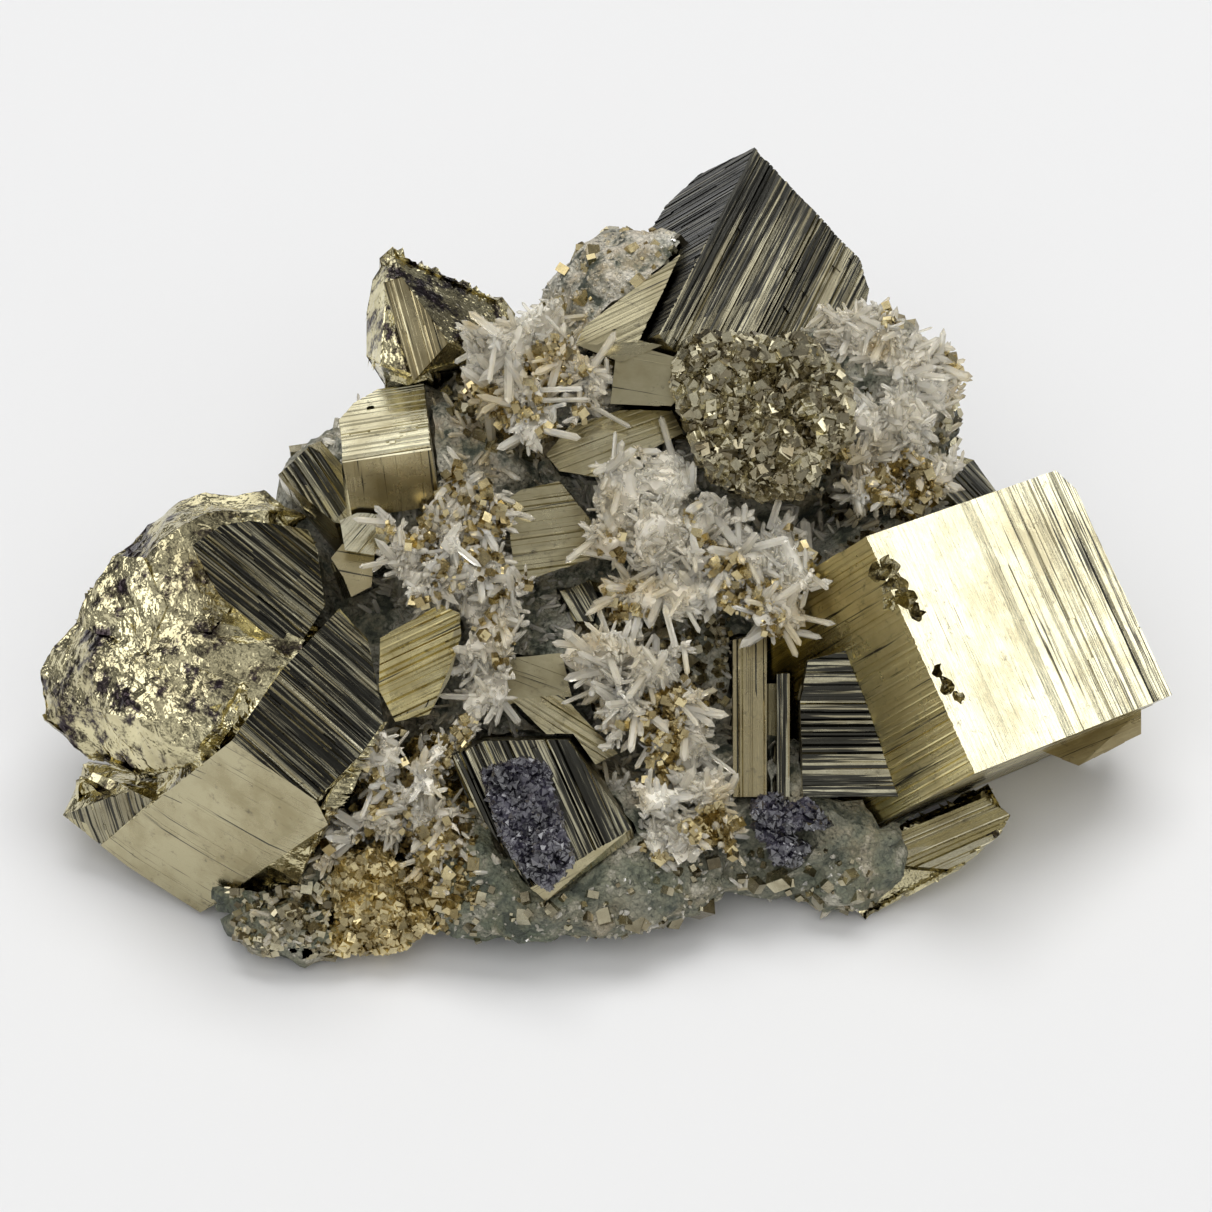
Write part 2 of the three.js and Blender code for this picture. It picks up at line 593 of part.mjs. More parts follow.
const rock = joinAll(stones.map((row) => stone(row)));
keep("matrix_rock", largestPiece(rock.subtract(table).subtract(taken)), "rock");
taken = taken.add(joinAll(stones.map((row) => stone(row, joint * 1.4))));

for (const [name, row] of Object.entries(sprays)) {
  addPiece(name, spray(row), "quartz", true);
}
addPiece("quartz_back", backQuartz(), "quartz");

// The origin is the middle of the box around the whole specimen, on the table.
const size = new THREE.Box3().setFromObject(group);
const middle = size.getCenter(new THREE.Vector3());
group.position.set(-middle.x, -middle.y, 0);

export default group;
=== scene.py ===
"""Pyrite with quartz: striated pyrite cubes, quartz needles and a little sphalerite on gray-green rock.

Lengths are in millimetres until a mesh is handed to Blender, which takes metres. A place on the
crystal face is a picture pixel and a height out of the face, because the face is seen square on.
"""
import math

import bmesh
import bpy
import numpy as np
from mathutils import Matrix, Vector
from mathutils.bvhtree import BVHTree
from mathutils.kdtree import KDTree

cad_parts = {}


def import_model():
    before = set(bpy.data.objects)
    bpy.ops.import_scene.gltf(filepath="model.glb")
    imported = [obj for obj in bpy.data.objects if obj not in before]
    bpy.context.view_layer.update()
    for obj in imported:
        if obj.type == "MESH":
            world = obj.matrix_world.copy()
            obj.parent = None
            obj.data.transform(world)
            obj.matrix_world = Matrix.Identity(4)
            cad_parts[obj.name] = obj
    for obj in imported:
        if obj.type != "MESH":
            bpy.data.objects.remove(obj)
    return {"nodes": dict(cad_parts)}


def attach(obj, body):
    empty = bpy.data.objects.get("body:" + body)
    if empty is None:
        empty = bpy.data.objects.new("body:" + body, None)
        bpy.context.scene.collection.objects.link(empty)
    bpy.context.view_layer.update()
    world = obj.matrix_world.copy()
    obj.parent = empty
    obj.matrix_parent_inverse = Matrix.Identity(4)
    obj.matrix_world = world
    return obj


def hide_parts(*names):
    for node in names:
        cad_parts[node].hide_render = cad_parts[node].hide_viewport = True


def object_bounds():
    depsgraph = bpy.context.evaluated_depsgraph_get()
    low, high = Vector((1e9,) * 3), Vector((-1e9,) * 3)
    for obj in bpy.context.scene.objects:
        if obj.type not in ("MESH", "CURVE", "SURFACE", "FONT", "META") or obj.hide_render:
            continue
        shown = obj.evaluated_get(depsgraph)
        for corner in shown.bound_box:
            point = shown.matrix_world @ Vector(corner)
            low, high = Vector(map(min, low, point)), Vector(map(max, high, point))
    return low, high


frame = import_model()
cad_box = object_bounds()

MM = 0.001
LEAN = math.radians(45)
ACROSS = np.array([1.0, 0.0, 0.0])
UP = np.array([0.0, math.sin(LEAN), math.cos(LEAN)])
OUT = np.array([0.0, -math.cos(LEAN), math.sin(LEAN)])
FACE_MIDDLE = np.array([0.0, -5.878, 18.2])
EYE_DISTANCE = 405.0
PICTURE = 1212
PIXEL = 0.0773  # millimetres on the crystal face for one pixel
SENSOR = 36.0
BOX_LOW = np.array(cad_box[0]) / MM
BOX_HIGH = np.array(cad_box[1]) / MM


# Places

def seen(px, py, out=0.0):
    """The point seen at a pixel, at a height out of the crystal face."""
    near = (EYE_DISTANCE - out) / EYE_DISTANCE
    across = (px - PICTURE / 2) * PIXEL * near
    up = (PICTURE / 2 - py) * PIXEL * near
    return FACE_MIDDLE + ACROSS * across + UP * up + OUT * out


def pixels(points):
    """The pixels at which points are seen."""
    place = points - FACE_MIDDLE
    near = EYE_DISTANCE / (EYE_DISTANCE - place @ OUT)
    across = PICTURE / 2 + (place @ ACROSS) * near / PIXEL
    down = PICTURE / 2 - (place @ UP) * near / PIXEL
    return np.stack([across, down], axis=1)


def inside(places, corners):
    """Which pixels lie in a polygon."""
    found = np.zeros(len(places), bool)
    x, y = places[:, 0], places[:, 1]
    for (ax, ay), (bx, by) in zip(corners, corners[1:] + corners[:1]):
        if ay == by:
            continue
        crosses = (ay > y) != (by > y)
        found ^= crosses & (x < (bx - ax) * (y - ay) / (by - ay) + ax)
    return found


def near_spots(places, spots):
    """How near pixels are to some spots: 1 in the middle of a spot and 0 well outside it."""
    near = np.zeros(len(places))
    for px, py, reach in spots:
        away = np.hypot(places[:, 0] - px, places[:, 1] - py) / reach
        near = np.maximum(near, np.clip(1.3 - away, 0, 1))
    return near


# Noise

def lattice(points, seed):
    """Smooth noise between -1 and 1 on a lattice of unit cells."""
    cell = np.floor(points).astype(np.int64)
    part = points - cell
    part = part * part * (3 - 2 * part)
    total = np.zeros(len(points))
    for corner in np.ndindex(2, 2, 2):
        at = cell + corner
        mixed = at[:, 0] * 374761393 + at[:, 1] * 668265263 + at[:, 2] * 2147483647 + seed * 974634777
        mixed = (mixed ^ (mixed >> 13)) * 1274126177
        value = ((mixed ^ (mixed >> 16)) & 0xFFFF) / 32767.5 - 1
        weight = np.prod(np.where(corner, part, 1 - part), axis=1)
        total += value * weight
    return total


def fractal(points, size, octaves, seed):
    """Layers of noise, the widest as wide as size."""
    total = np.zeros(len(points))
    strength = 1.0
    for layer in range(octaves):
        total += strength * lattice(points / size, seed + layer)
        size *= 0.5
        strength *= 0.55
    return total


def scoops(points, seeds, radii, stretch=None):
    """Depth of shell-shaped hollows: each is a bowl around its seed, and the deepest one counts."""
    stretch = np.eye(3) if stretch is None else stretch
    longest = 1 / np.linalg.eigvalsh(stretch).min()
    order = np.argsort(points[:, 0])
    ordered = points[order]
    depth = np.zeros(len(points))
    for seed, radius in zip(seeds, radii):
        reach = radius * longest
        low, high = np.searchsorted(ordered[:, 0], (seed[0] - reach, seed[0] + reach))
        away = (ordered[low:high] - seed) @ stretch
        bowl = 1 - np.einsum("ij,ij->i", away, away) / radius**2
        depth[low:high] = np.maximum(depth[low:high], bowl * radius)
    result = np.empty(len(points))
    result[order] = depth
    return result


# Meshes

def node_mesh(name):
    """A closed mesh of a CAD node, with its shared corners merged."""
    bm = bmesh.new()
    bm.from_mesh(frame["nodes"][name].data)
    bm.faces.layers.int.new("part")
    bmesh.ops.scale(bm, vec=(1 / MM, 1 / MM, 1 / MM), verts=bm.verts)
    bmesh.ops.remove_doubles(bm, verts=bm.verts, dist=0.004)
    bmesh.ops.triangulate(bm, faces=bm.faces)
    bmesh.ops.recalc_face_normals(bm, faces=bm.faces)
    return bm


def arrays(bm):
    """Points and triangles of a mesh of triangles."""
    bm.verts.index_update()
    points = np.array([v.co for v in bm.verts])
    triangles = np.array([[v.index for v in f.verts] for f in bm.faces])
    return points, triangles


def surface_of(name):
    """Points and triangles of a CAD node."""
    bm = node_mesh(name)
    result = arrays(bm)
    bm.free()
    return result


def refine(bm, faces, target, passes=8):
    """Splits the edges of some faces until none is longer than target, and returns those faces."""
    layer = bm.faces.layers.int["part"]
    for face in faces:
        face[layer] = 1
    for _ in range(passes):
        edges = {e for f in bm.faces if f[layer] for e in f.edges if e.calc_length() > target}
        if not edges:
            break
        bmesh.ops.subdivide_edges(bm, edges=list(edges), cuts=1, use_grid_fill=True)
        bmesh.ops.triangulate(bm, faces=[f for f in bm.faces if len(f.verts) > 3])
    return [f for f in bm.faces if f[layer]]


def fine_mesh(name, target):
    """A CAD node's mesh split finely, with its points and the way it faces at each."""
    bm = node_mesh(name)
    refine(bm, list(bm.faces), target)
    bm.normal_update()
    points = np.array([v.co for v in bm.verts])
    normals = np.array([v.normal for v in bm.verts])
    return bm, points, normals


def moved_surface(bm, spots):
    """Points and triangles of a mesh, with its points moved to the given spots."""
    for vert, spot in zip(bm.verts, spots):
        vert.co = spot
    result = arrays(bm)
    bm.free()
    return result


def new_object(name, data, materials):
    """An object in the scene, with its materials in order."""
    piece = bpy.data.objects.new(name, data)
    bpy.context.scene.collection.objects.link(piece)
    for index, material in enumerate(materials):
        if index < len(data.materials):
            data.materials[index] = material
        else:
            data.materials.append(material)
    return piece


def fit(points):
    """Keeps points inside the box of the whole specimen, and off the table."""
    return np.clip(points, BOX_LOW + 0.002, BOX_HIGH - 0.002)


def mesh_from_arrays(name, points, triangles):
    """A Blender mesh, in metres, of points in millimetres."""
    data = bpy.data.meshes.new(name)
    data.from_pydata((fit(points) * MM).tolist(), [], triangles.tolist())
    return data


def set_attribute(data, name, kind, domain, values):
    """Stores values on a mesh for its material to read."""
    layer = data.attributes.new(name, kind, domain)
    key = "vector" if kind == "FLOAT_VECTOR" else "color" if kind == "FLOAT_COLOR" else "value"
    layer.data.foreach_set(key, np.asarray(values, np.float32).ravel())


def settle(piece, slot, *replaced):
    """A piece rides the one body and may stand for CAD nodes, which are hidden. The slot is not used."""
    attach(piece, "root")
    if replaced:
        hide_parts(*replaced)


def joined(parts):
    """Several lists of points and triangles as one."""
    points, triangles, start = [], [], 0
    for some, corners in parts:
        points.append(some)
        triangles.append(corners + start)
        start += len(some)
    return np.concatenate(points), np.concatenate(triangles)


# Materials

class Graph:
    """The node tree of a material or of the room, with short calls for the few nodes that are used."""

    def __init__(self, name, room=False):
        self.owner = bpy.data.worlds.new(name) if room else bpy.data.materials.new(name)
        self.owner.use_nodes = True
        self.tree = self.owner.node_tree
        self.shader = self.tree.nodes["Background" if room else "Principled BSDF"]

    def node(self, kind, **settings):
        made = self.tree.nodes.new(kind)
        for key, value in settings.items():
            setattr(made, key, value)
        return made

    def link(self, source, target):
        self.tree.links.new(source, target)

    def put(self, target, value):
        if hasattr(value, "is_linked"):
            self.link(value, target)
        else:
            target.default_value = value

    def place(self):
        return self.node("ShaderNodeTexCoord").outputs["Object"]

    def attribute(self, name, output="Fac"):
        return self.node("ShaderNodeAttribute", attribute_name=name).outputs[output]

    def stretched(self, name, stretch):
        mapping = self.node("ShaderNodeMapping")
        mapping.inputs["Scale"].default_value = stretch
        self.link(self.attribute(name, "Vector"), mapping.inputs["Vector"])
        return mapping.outputs["Vector"]

    def noise(self, vector, scale, detail=4.0, roughness=0.6):
        made = self.node("ShaderNodeTexNoise")
        self.link(vector, made.inputs["Vector"])
        made.inputs["Scale"].default_value = scale
        made.inputs["Detail"].default_value = detail
        made.inputs["Roughness"].default_value = roughness
        return made.outputs["Fac"]

    def cells(self, vector, scale, feature="F1"):
        made = self.node("ShaderNodeTexVoronoi", feature=feature)
        self.link(vector, made.inputs["Vector"])
        made.inputs["Scale"].default_value = scale
        return made.outputs["Distance"]

    def spread(self, value, low, high, bottom=0.0, top=1.0):
        made = self.node("ShaderNodeMapRange", clamp=True)
        self.put(made.inputs["Value"], value)
        for key, number in (("From Min", low), ("From Max", high), ("To Min", bottom), ("To Max", top)):
            made.inputs[key].default_value = number
        return made.outputs["Result"]

    def mix(self, share, first, second, blend="MIX"):
        made = self.node("ShaderNodeMix", data_type="RGBA", blend_type=blend)
        self.put(made.inputs[0], share)
        self.put(made.inputs[6], first)
        self.put(made.inputs[7], second)
        return made.outputs[2]

    def math(self, operation, first, second):
        made = self.node("ShaderNodeMath", operation=operation)
        self.put(made.inputs[0], first)
        self.put(made.inputs[1], second)
        return made.outputs[0]

    def bump(self, height, distance, strength=1.0, before=None):
        made = self.node("ShaderNodeBump")
        made.inputs["Strength"].default_value = strength
        made.inputs["Distance"].default_value = distance
        self.link(height, made.inputs["Height"])
        if before:
            self.link(before, made.inputs["Normal"])
        return made.outputs["Normal"]

    def finish(self, **inputs):
        for key, value in inputs.items():
            self.put(self.shader.inputs[key.replace("_", " ")], value)
        return self.owner


def colour(red, green, blue):
    return (red, green, blue, 1.0)


def pyrite_material():
    """Striated pyrite: brass tinted face by face, partly tarnish and partly painted reflection, with fine
    lines along each face's striations, the black ones painted dark reflections.
    """
    g = Graph("pyrite_striated")
    place = g.place()
    lines = g.noise(g.stretched("streak", (0.06, 3.0, 1.0)), 1.0, 3.0, 0.72)
    fine = g.noise(g.stretched("streak", (0.4, 14.0, 1.0)), 1.0, 3.0, 0.6)
    patches = g.noise(place, 170.0, 5.0, 0.62)
    specks = g.noise(place, 1100.0, 3.0, 0.7)
    # The tint, partly tarnish and partly painted reflection, makes each face lighter or darker by what it
    # mirrors.
    tint = g.attribute("tint", "Color")
    brass = g.mix(g.spread(patches, 0.42, 0.66), colour(0.70, 0.66, 0.50), colour(0.50, 0.45, 0.31))
    body = g.mix(1.0, brass, tint, "MULTIPLY")
    # Black lines along the striations: painted dark reflections, more of them on faces with a larger share.
    dark = g.math("ADD", lines, g.math("MULTIPLY", g.attribute("painted_dark_lines"), 0.3))
    body = g.mix(g.spread(dark, 0.64, 0.69, 0.0, 0.96), body, colour(0.04, 0.04, 0.036))
    body = g.mix(g.spread(specks, 0.60, 0.74, 0.0, 0.55), body, colour(0.07, 0.06, 0.05))
    rough = g.spread(patches, 0.35, 0.7, 0.14, 0.30)
    dull = g.attribute("dull")
    rough = g.math("ADD", rough, g.math("MULTIPLY", dull, 0.3))
    bump = g.bump(lines, 0.00005, 0.6)
    bump = g.bump(fine, 0.00002, 0.6, bump)
    bump = g.bump(specks, 0.00003, 0.35, bump)
    return g.finish(Base_Color=body, Metallic=1.0, Roughness=rough, Normal=bump)


def fracture_material():
    """Freshly broken pyrite: brassy gold with dark violet spots and small bright glints."""
    g = Graph("pyrite_broken")
    place = g.place()
    patches = g.noise(place, 150.0, 5.0, 0.62)
    spots = g.noise(place, 420.0, 7.0, 0.74)
    grit = g.cells(place, 1500.0)
    dark = g.attribute("dark")
    body = g.mix(g.spread(patches, 0.36, 0.64), colour(0.82, 0.75, 0.47), colour(0.42, 0.37, 0.22))
    body = g.mix(g.spread(spots, 0.51, 0.60, 0.0, 0.9), body, colour(0.11, 0.09, 0.05))
    share = g.math("ADD", spots, g.math("MULTIPLY", dark, 0.13))
    body = g.mix(g.spread(share, 0.58, 0.67, 0.0, 0.93), body, colour(0.035, 0.026, 0.034))
    rough = g.spread(spots, 0.35, 0.7, 0.10, 0.24)
    bump = g.bump(patches, 0.0012, 0.7)
    bump = g.bump(grit, 0.00008, 0.25, bump)
    return g.finish(Base_Color=body, Metallic=1.0, Roughness=rough, Normal=bump)


def grain_material(name, light, deep, rough):
    """Small pyrite crystals, each a little different at random, darker in patches; the deep colour, given to
    a druse's core, is painted shade between the grains.
    """
    g = Graph(name)
    place = g.place()
    patches = g.noise(place, 420.0, 4.0, 0.6)
    specks = g.noise(place, 1500.0, 3.0, 0.65)
    tone_and_painted_shade = g.attribute("tone_and_painted_shade")
    body = g.mix(tone_and_painted_shade, deep, light)
    body = g.mix(g.spread(patches, 0.45, 0.68, 0.0, 0.6), body, colour(0.16, 0.12, 0.06))
    bump = g.bump(specks, 0.00004, 0.4)
    return g.finish(Base_Color=body, Metallic=1.0, Roughness=g.spread(specks, 0.3, 0.7, rough, rough + 0.2),
                    Normal=bump)


def quartz_material(name, clear, rough, pale, stained):
    """Quartz: see-through by transmission, faintly milky, with rust where iron has stained it."""
    g = Graph(name)
    place = g.place()
    clouds = g.noise(place, 260.0, 5.0, 0.65)
    fine = g.noise(place, 1800.0, 3.0, 0.6)
    stain = g.math("MULTIPLY", g.attribute("stain"), g.spread(clouds, 0.3, 0.55))
    body = g.mix(g.spread(clouds, 0.44, 0.66), pale, colour(0.93, 0.91, 0.84))
    body = g.mix(stain, body, stained)
    bump = g.bump(fine, 0.00003, 0.35)
    g.shader.inputs["Transmission Weight"].default_value = clear
    g.shader.inputs["IOR"].default_value = 1.544
    return g.finish(Base_Color=body, Roughness=g.spread(clouds, 0.35, 0.7, rough, rough + 0.18), Normal=bump)


def rock_material():
    """Gray-green altered rock: mottled, with dark sulphide specks, pale crusts and rust, and left darker low
    down as painted shade.
    """
    g = Graph("rock_gray_green")
    place = g.place()
    wide = g.noise(place, 90.0, 6.0, 0.62)
    middle = g.noise(place, 420.0, 6.0, 0.66)
    fine = g.noise(place, 2200.0, 4.0, 0.65)
    patches = g.noise(place, 230.0, 5.0, 0.62)
    joints = g.cells(place, 2100.0, feature="DISTANCE_TO_EDGE")
    body = g.mix(g.spread(wide, 0.38, 0.62), colour(0.13, 0.165, 0.115), colour(0.25, 0.25, 0.19))
    body = g.mix(g.spread(middle, 0.55, 0.64), body, colour(0.54, 0.53, 0.44))
    body = g.mix(g.spread(middle, 0.48, 0.38), body, colour(0.07, 0.08, 0.06))
    pale = g.mix(g.spread(patches, 0.46, 0.58), colour(0.88, 0.85, 0.74), colour(0.46, 0.41, 0.29))
    # Pale crust where the crust share is high: real crust on the crusted patch, plus a paler cast higher up
    # that leaves painted shade low down.
    body = g.mix(g.math("MULTIPLY", g.attribute("crust"), g.spread(middle, 0.40, 0.52)), body, pale)
    body = g.mix(g.math("MULTIPLY", g.attribute("stain"), g.spread(middle, 0.4, 0.6)), body,
                 colour(0.40, 0.24, 0.08))
    body = g.mix(g.spread(joints, 0.02, 0.2, 0.35, 0.0), body, colour(0.05, 0.055, 0.04))
    body = g.mix(g.spread(fine, 0.56, 0.66, 0.0, 0.85), body, colour(0.035, 0.04, 0.03))
    bump = g.bump(middle, 0.0009, 1.0)
    bump = g.bump(joints, 0.00025, 0.5, bump)
    bump = g.bump(fine, 0.0003, 0.9, bump)
    return g.finish(Base_Color=body, Roughness=g.spread(middle, 0.3, 0.7, 0.5, 0.85), Normal=bump)


def blende_material():
    """Sphalerite: shiny, violet-black."""
    g = Graph("sphalerite_violet")
    place = g.place()
    patches = g.noise(place, 500.0, 5.0, 0.65)
    fine = g.noise(place, 2500.0, 3.0, 0.6)
    body = g.mix(g.spread(patches, 0.42, 0.62), colour(0.009, 0.008, 0.013), colour(0.036, 0.032, 0.052))
    bump = g.bump(fine, 0.00006, 0.5)
    g.shader.inputs["IOR"].default_value = 2.37
    return g.finish(Base_Color=body, Roughness=g.spread(patches, 0.35, 0.7, 0.12, 0.34), Normal=bump)


BROKEN_SLOT = 1  # a crystal's second material is the broken one
STRIATED = pyrite_material()
BROKEN = fracture_material()
GRAINS = grain_material("pyrite_grains", colour(0.68, 0.63, 0.44), colour(0.20, 0.17, 0.11), 0.12)
GOLDEN_GRAINS = grain_material("pyrite_golden_grains", colour(0.85, 0.73, 0.42), colour(0.36, 0.28, 0.13),
                               0.14)
NEEDLES = quartz_material("quartz_clear", 0.66, 0.02, colour(1.0, 0.985, 0.92), colour(0.88, 0.74, 0.42))
MILKY = quartz_material("quartz_milky", 0.08, 0.3, colour(0.96, 0.93, 0.83), colour(0.66, 0.50, 0.24))
ROCK = rock_material()
BLENDE = blende_material()


# Flat faces of a crystal

# The look of a face: what multiplies the brass colour, partly tarnish and partly painted reflection of that
# face, and how much of the face is black lines, painted dark reflections along its striations.
SHINING = ((1.18, 1.18, 1.10), -0.1)
PALE = ((1.08, 1.08, 1.04), -0.04)
OLIVE = ((0.72, 0.69, 0.58), 0.04)
BROWN = ((0.68, 0.62, 0.48), 0.04)
DARK = ((0.95, 0.95, 0.90), 0.68)
SLATE = ((0.50, 0.49, 0.45), 0.42)
BLACK = ((0.30, 0.30, 0.29), 0.74)
GOLD = ((1.14, 1.07, 0.75), 0.11)


class Facet:
    """One flat face of a crystal: its triangles, its plane and how it is lined."""

    def __init__(self, faces):
        self.faces = faces
        areas = np.array([f.calc_area() for f in faces])
        normals = np.array([f.normal for f in faces])
        self.area = areas.sum()
        self.normal = (normals * areas[:, None]).sum(0)
        self.normal /= np.linalg.norm(self.normal)
        self.point = np.array(faces[0].verts[0].co)
        self.named = False
        self.style = "plain"
        self.tint, self.painted_dark_lines = OLIVE
        self.dull = 0.2
        self.along = self.edge_way()

    def edge_way(self):
        """The direction of the longest edge around the face."""
        own = set(self.faces)
        rims = [e for f in self.faces for e in f.edges if sum(g in own for g in e.link_faces) == 1]
        longest = max(rims, key=lambda e: e.calc_length())
        way = np.array(longest.verts[1].co - longest.verts[0].co)
        return way / np.linalg.norm(way)

    def picture_way(self, angle):
        """The direction in this face's plane that the picture shows at an angle, clockwise from right."""
        turn = math.radians(angle)
        flat = ACROSS * math.cos(turn) - UP * math.sin(turn)
        facing = self.normal @ OUT
        way = flat - OUT * (self.normal @ flat) / facing
        return way / np.linalg.norm(way)


BENT_FACE = math.cos(math.radians(13))
FLAT_FACE = math.cos(math.radians(1.5))


def find_facets(bm, starts):
    """Groups the triangles of a mesh into faces, first from the starts and then from the largest.

    A start's face may be a little bent, because a hull through given corners isn't flat.
    """
    taken = set()
    found = []
    for first in starts + sorted(bm.faces, key=lambda f: -f.calc_area()):
        if first in taken:
            continue
        limit = BENT_FACE if first in starts else FLAT_FACE
        group, queue = [], [first]
        taken.add(first)
        while queue:
            face = queue.pop()
            group.append(face)
            for edge in face.edges:
                for other in edge.link_faces:
                    if other not in taken and other.normal.dot(first.normal) > limit:
                        taken.add(other)
                        queue.append(other)
        found.append(Facet(group))
    return found


def profile(low, high, style, random):
    """Steps across a face: rows of start, end, depth at the start and depth at the end."""
    rows = []
    place, depth = low, style["deep"] * 0.3
    while place < high:
        share = np.clip((place - low) / (high - low), 0, 1)
        width = random.uniform(*style["width"]) * (1 + style["wide_start"] * (1 - share) ** 2)
        lively = 1 - style["calm_start"] * (1 - share) ** 1.5
        slope = math.tan(math.radians(random.normal(0, style["tilt"]) * lively))
        end = float(np.clip(depth + slope * width, 0.02, style["deep"]))
        rows.append((place, place + width, depth, end))
        place += width
        if random.random() < style["grooves"] * lively:
            bottom = style["deep"] * random.uniform(1.0, 1.6)
            span = random.uniform(0.05, 0.13)
            rows.append((place, place + span, end, bottom))
            rows.append((place + span, place + 2 * span, bottom, end))
            place += 2 * span
        else:
            level = end + (random.uniform(0.02, style["deep"]) - end) * lively
            span = max(abs(level - end) * random.uniform(0.5, 1.4), 0.03)
            rows.append((place, place + span, end, level))
            place += span
            end = level
        depth = end
    return rows


def pick_breaks(rows, left, right, style, random):
    """Where bundles of steps are broken along their length, and how each length is shifted in depth."""
    breaks = [[] for _ in rows]
    shifts = [[0.0] for _ in rows]
    k = 0
    while k < len(rows):
        bundle = int(random.integers(1, 5))
        if random.random() < style["breaks"]:
            spots = sorted(random.uniform(left, right, int(random.integers(1, 4))))
            steps = [0.0] + [random.uniform(-0.5, 0.7) * style["deep"] for _ in spots]
            for row in range(k, min(k + bundle, len(rows))):
                breaks[row] = sorted(spot + random.normal(0, 0.12) for spot in spots)
                shifts[row] = steps
        k += bundle
    return breaks, shifts


def row_at(starts, place):
    """The step that a place across the face lies in."""
    return int(np.clip(np.searchsorted(starts, place) - 1, 0, len(starts) - 1))


def cut_cells(facet, along, cross, rows, style, random):
    """The face's own mesh, cut into the steps and the steps into lengths, and where it was cut."""
    flat = bmesh.new()
    corners = {}
    for face in facet.faces:
        ring = []
        for vert in face.verts:
            if vert not in corners:
                away = np.array(vert.co) - facet.point
                corners[vert] = flat.verts.new((away @ along, away @ cross, away @ facet.normal))
            ring.append(corners[vert])
        flat.faces.new(ring)
    ends = [v.co.x for v in flat.verts]
    left, right = min(ends), max(ends)
    for row in rows[1:]:
        everything = list(flat.verts) + list(flat.edges) + list(flat.faces)
        bmesh.ops.bisect_plane(flat, geom=everything, dist=1e-5, plane_co=(0, row[0], 0),
                               plane_no=(0, 1, 0))
    starts = np.array([row[0] for row in rows])
    breaks, shifts = pick_breaks(rows, left, right, style, random)
    rows_of = {}
    for face in flat.faces:
        rows_of.setdefault(row_at(starts, face.calc_center_median().y), []).append(face)
    for index, faces in rows_of.items():
        for spot in breaks[index]:
            mine = [f for f in faces if f.is_valid]
            geometry = set(mine)
            for face in mine:
                geometry.update(face.edges)
                geometry.update(face.verts)
            made = bmesh.ops.bisect_plane(flat, geom=list(geometry), dist=1e-5,
                                          plane_co=(spot, 0, 0), plane_no=(1, 0, 0))
            fresh = [g for g in made["geom"] if isinstance(g, bmesh.types.BMFace)]
            faces = list(set(mine) | set(fresh))
    return flat, starts, breaks, shifts


def cell_depths(flat, rows, starts, breaks, shifts):
    """How deep each cell lies at each of its corners, and all the depths that meet at a corner."""
    lows, levels = {}, {}
    for face in flat.faces:
        middle = face.calc_center_median()
        index = row_at(starts, middle.y)
        start, end, first, last = rows[index]
        shift = shifts[index][int(np.searchsorted(breaks[index], middle.x))]
        lows[face] = {}
        for vert in face.verts:
            share = (vert.co.y - start) / (end - start)
            depth = round(float(max(first + (last - first) * share + shift, 0.015)), 5)
            lows[face][vert] = depth
            levels.setdefault(vert, set()).add(depth)
    return lows, levels


def terrace_cutter(facet, style, random):
    """A closed block that takes the steps out of a flat face when it is cut away."""
    along = facet.along - facet.normal * (facet.along @ facet.normal)
    along /= np.linalg.norm(along)
    cross = np.cross(facet.normal, along)
    spans = [(np.array(v.co) - facet.point) @ cross for f in facet.faces for v in f.verts]
    rows = profile(min(spans) - 0.05, max(spans) + 0.05, style, random)
    flat, starts, breaks, shifts = cut_cells(facet, along, cross, rows, style, random)
    lows, levels = cell_depths(flat, rows, starts, breaks, shifts)
    cutter = bmesh.new()
    made = {}
    nudge = outward_nudge(flat, 0.02)
    top = 0.03

    def corner(vert, depth):
        key = (vert, depth)
        if key not in made:
            u = vert.co.x + nudge.get(vert, (0, 0))[0]
            v = vert.co.y + nudge.get(vert, (0, 0))[1]
            height = vert.co.z - depth
            made[key] = cutter.verts.new(facet.point + along * u + cross * v + facet.normal * height)
        return made[key]

    def ladder(vert, first, last):
        """The corners on the upright line through vert, from one depth to another."""
        low, high = min(first, last), max(first, last)
        between = sorted(d for d in levels[vert] if low < d < high)
        if first > last:
            between.reverse()
        return [corner(vert, d) for d in [first, *between, last]]

    for face in flat.faces:
        cutter.faces.new([corner(v, lows[face][v]) for v in face.verts])
        cutter.faces.new([corner(v, -top) for v in reversed(face.verts)])
    for edge in flat.edges:
        a, b = edge.verts
        near = edge.link_faces[0]
        if len(edge.link_faces) == 1:
            ring = ladder(a, lows[near][a], -top) + list(reversed(ladder(b, lows[near][b], -top)))
        else:
            far = edge.link_faces[1]
            ring = ladder(a, lows[near][a], lows[far][a])
            ring += list(reversed(ladder(b, lows[near][b], lows[far][b])))
        ring = [v for k, v in enumerate(ring) if v != ring[k - 1]]
        if len(ring) > 2:
            cutter.faces.new(ring)
    flat.free()
    bmesh.ops.triangulate(cutter, faces=cutter.faces)
    bmesh.ops.recalc_face_normals(cutter, faces=cutter.faces)
    facet.cross = cross
    facet.along = along
    return cutter


def outward_nudge(flat, distance):
    """Small moves that widen a flat mesh past its rim."""
    moves = {}
    for edge in flat.edges:
        if len(edge.link_faces) != 1:
            continue
        a, b = edge.verts
        way = (b.co - a.co).normalized()
        side = Vector((way.y, -way.x, 0))
        if side.dot(edge.link_faces[0].calc_center_median() - a.co) > 0:
            side.negate()
        for vert in edge.verts:
            x, y = moves.get(vert, (0.0, 0.0))
            moves[vert] = (x + side.x * distance / 2, y + side.y * distance / 2)
    return moves


def shaped(name, bm):
    """An object of a closed mesh, for the carving."""
    data = bpy.data.meshes.new(name)
    bm.to_mesh(data)
    bm.free()
    return new_object(name, data, [STRIATED, BROKEN])


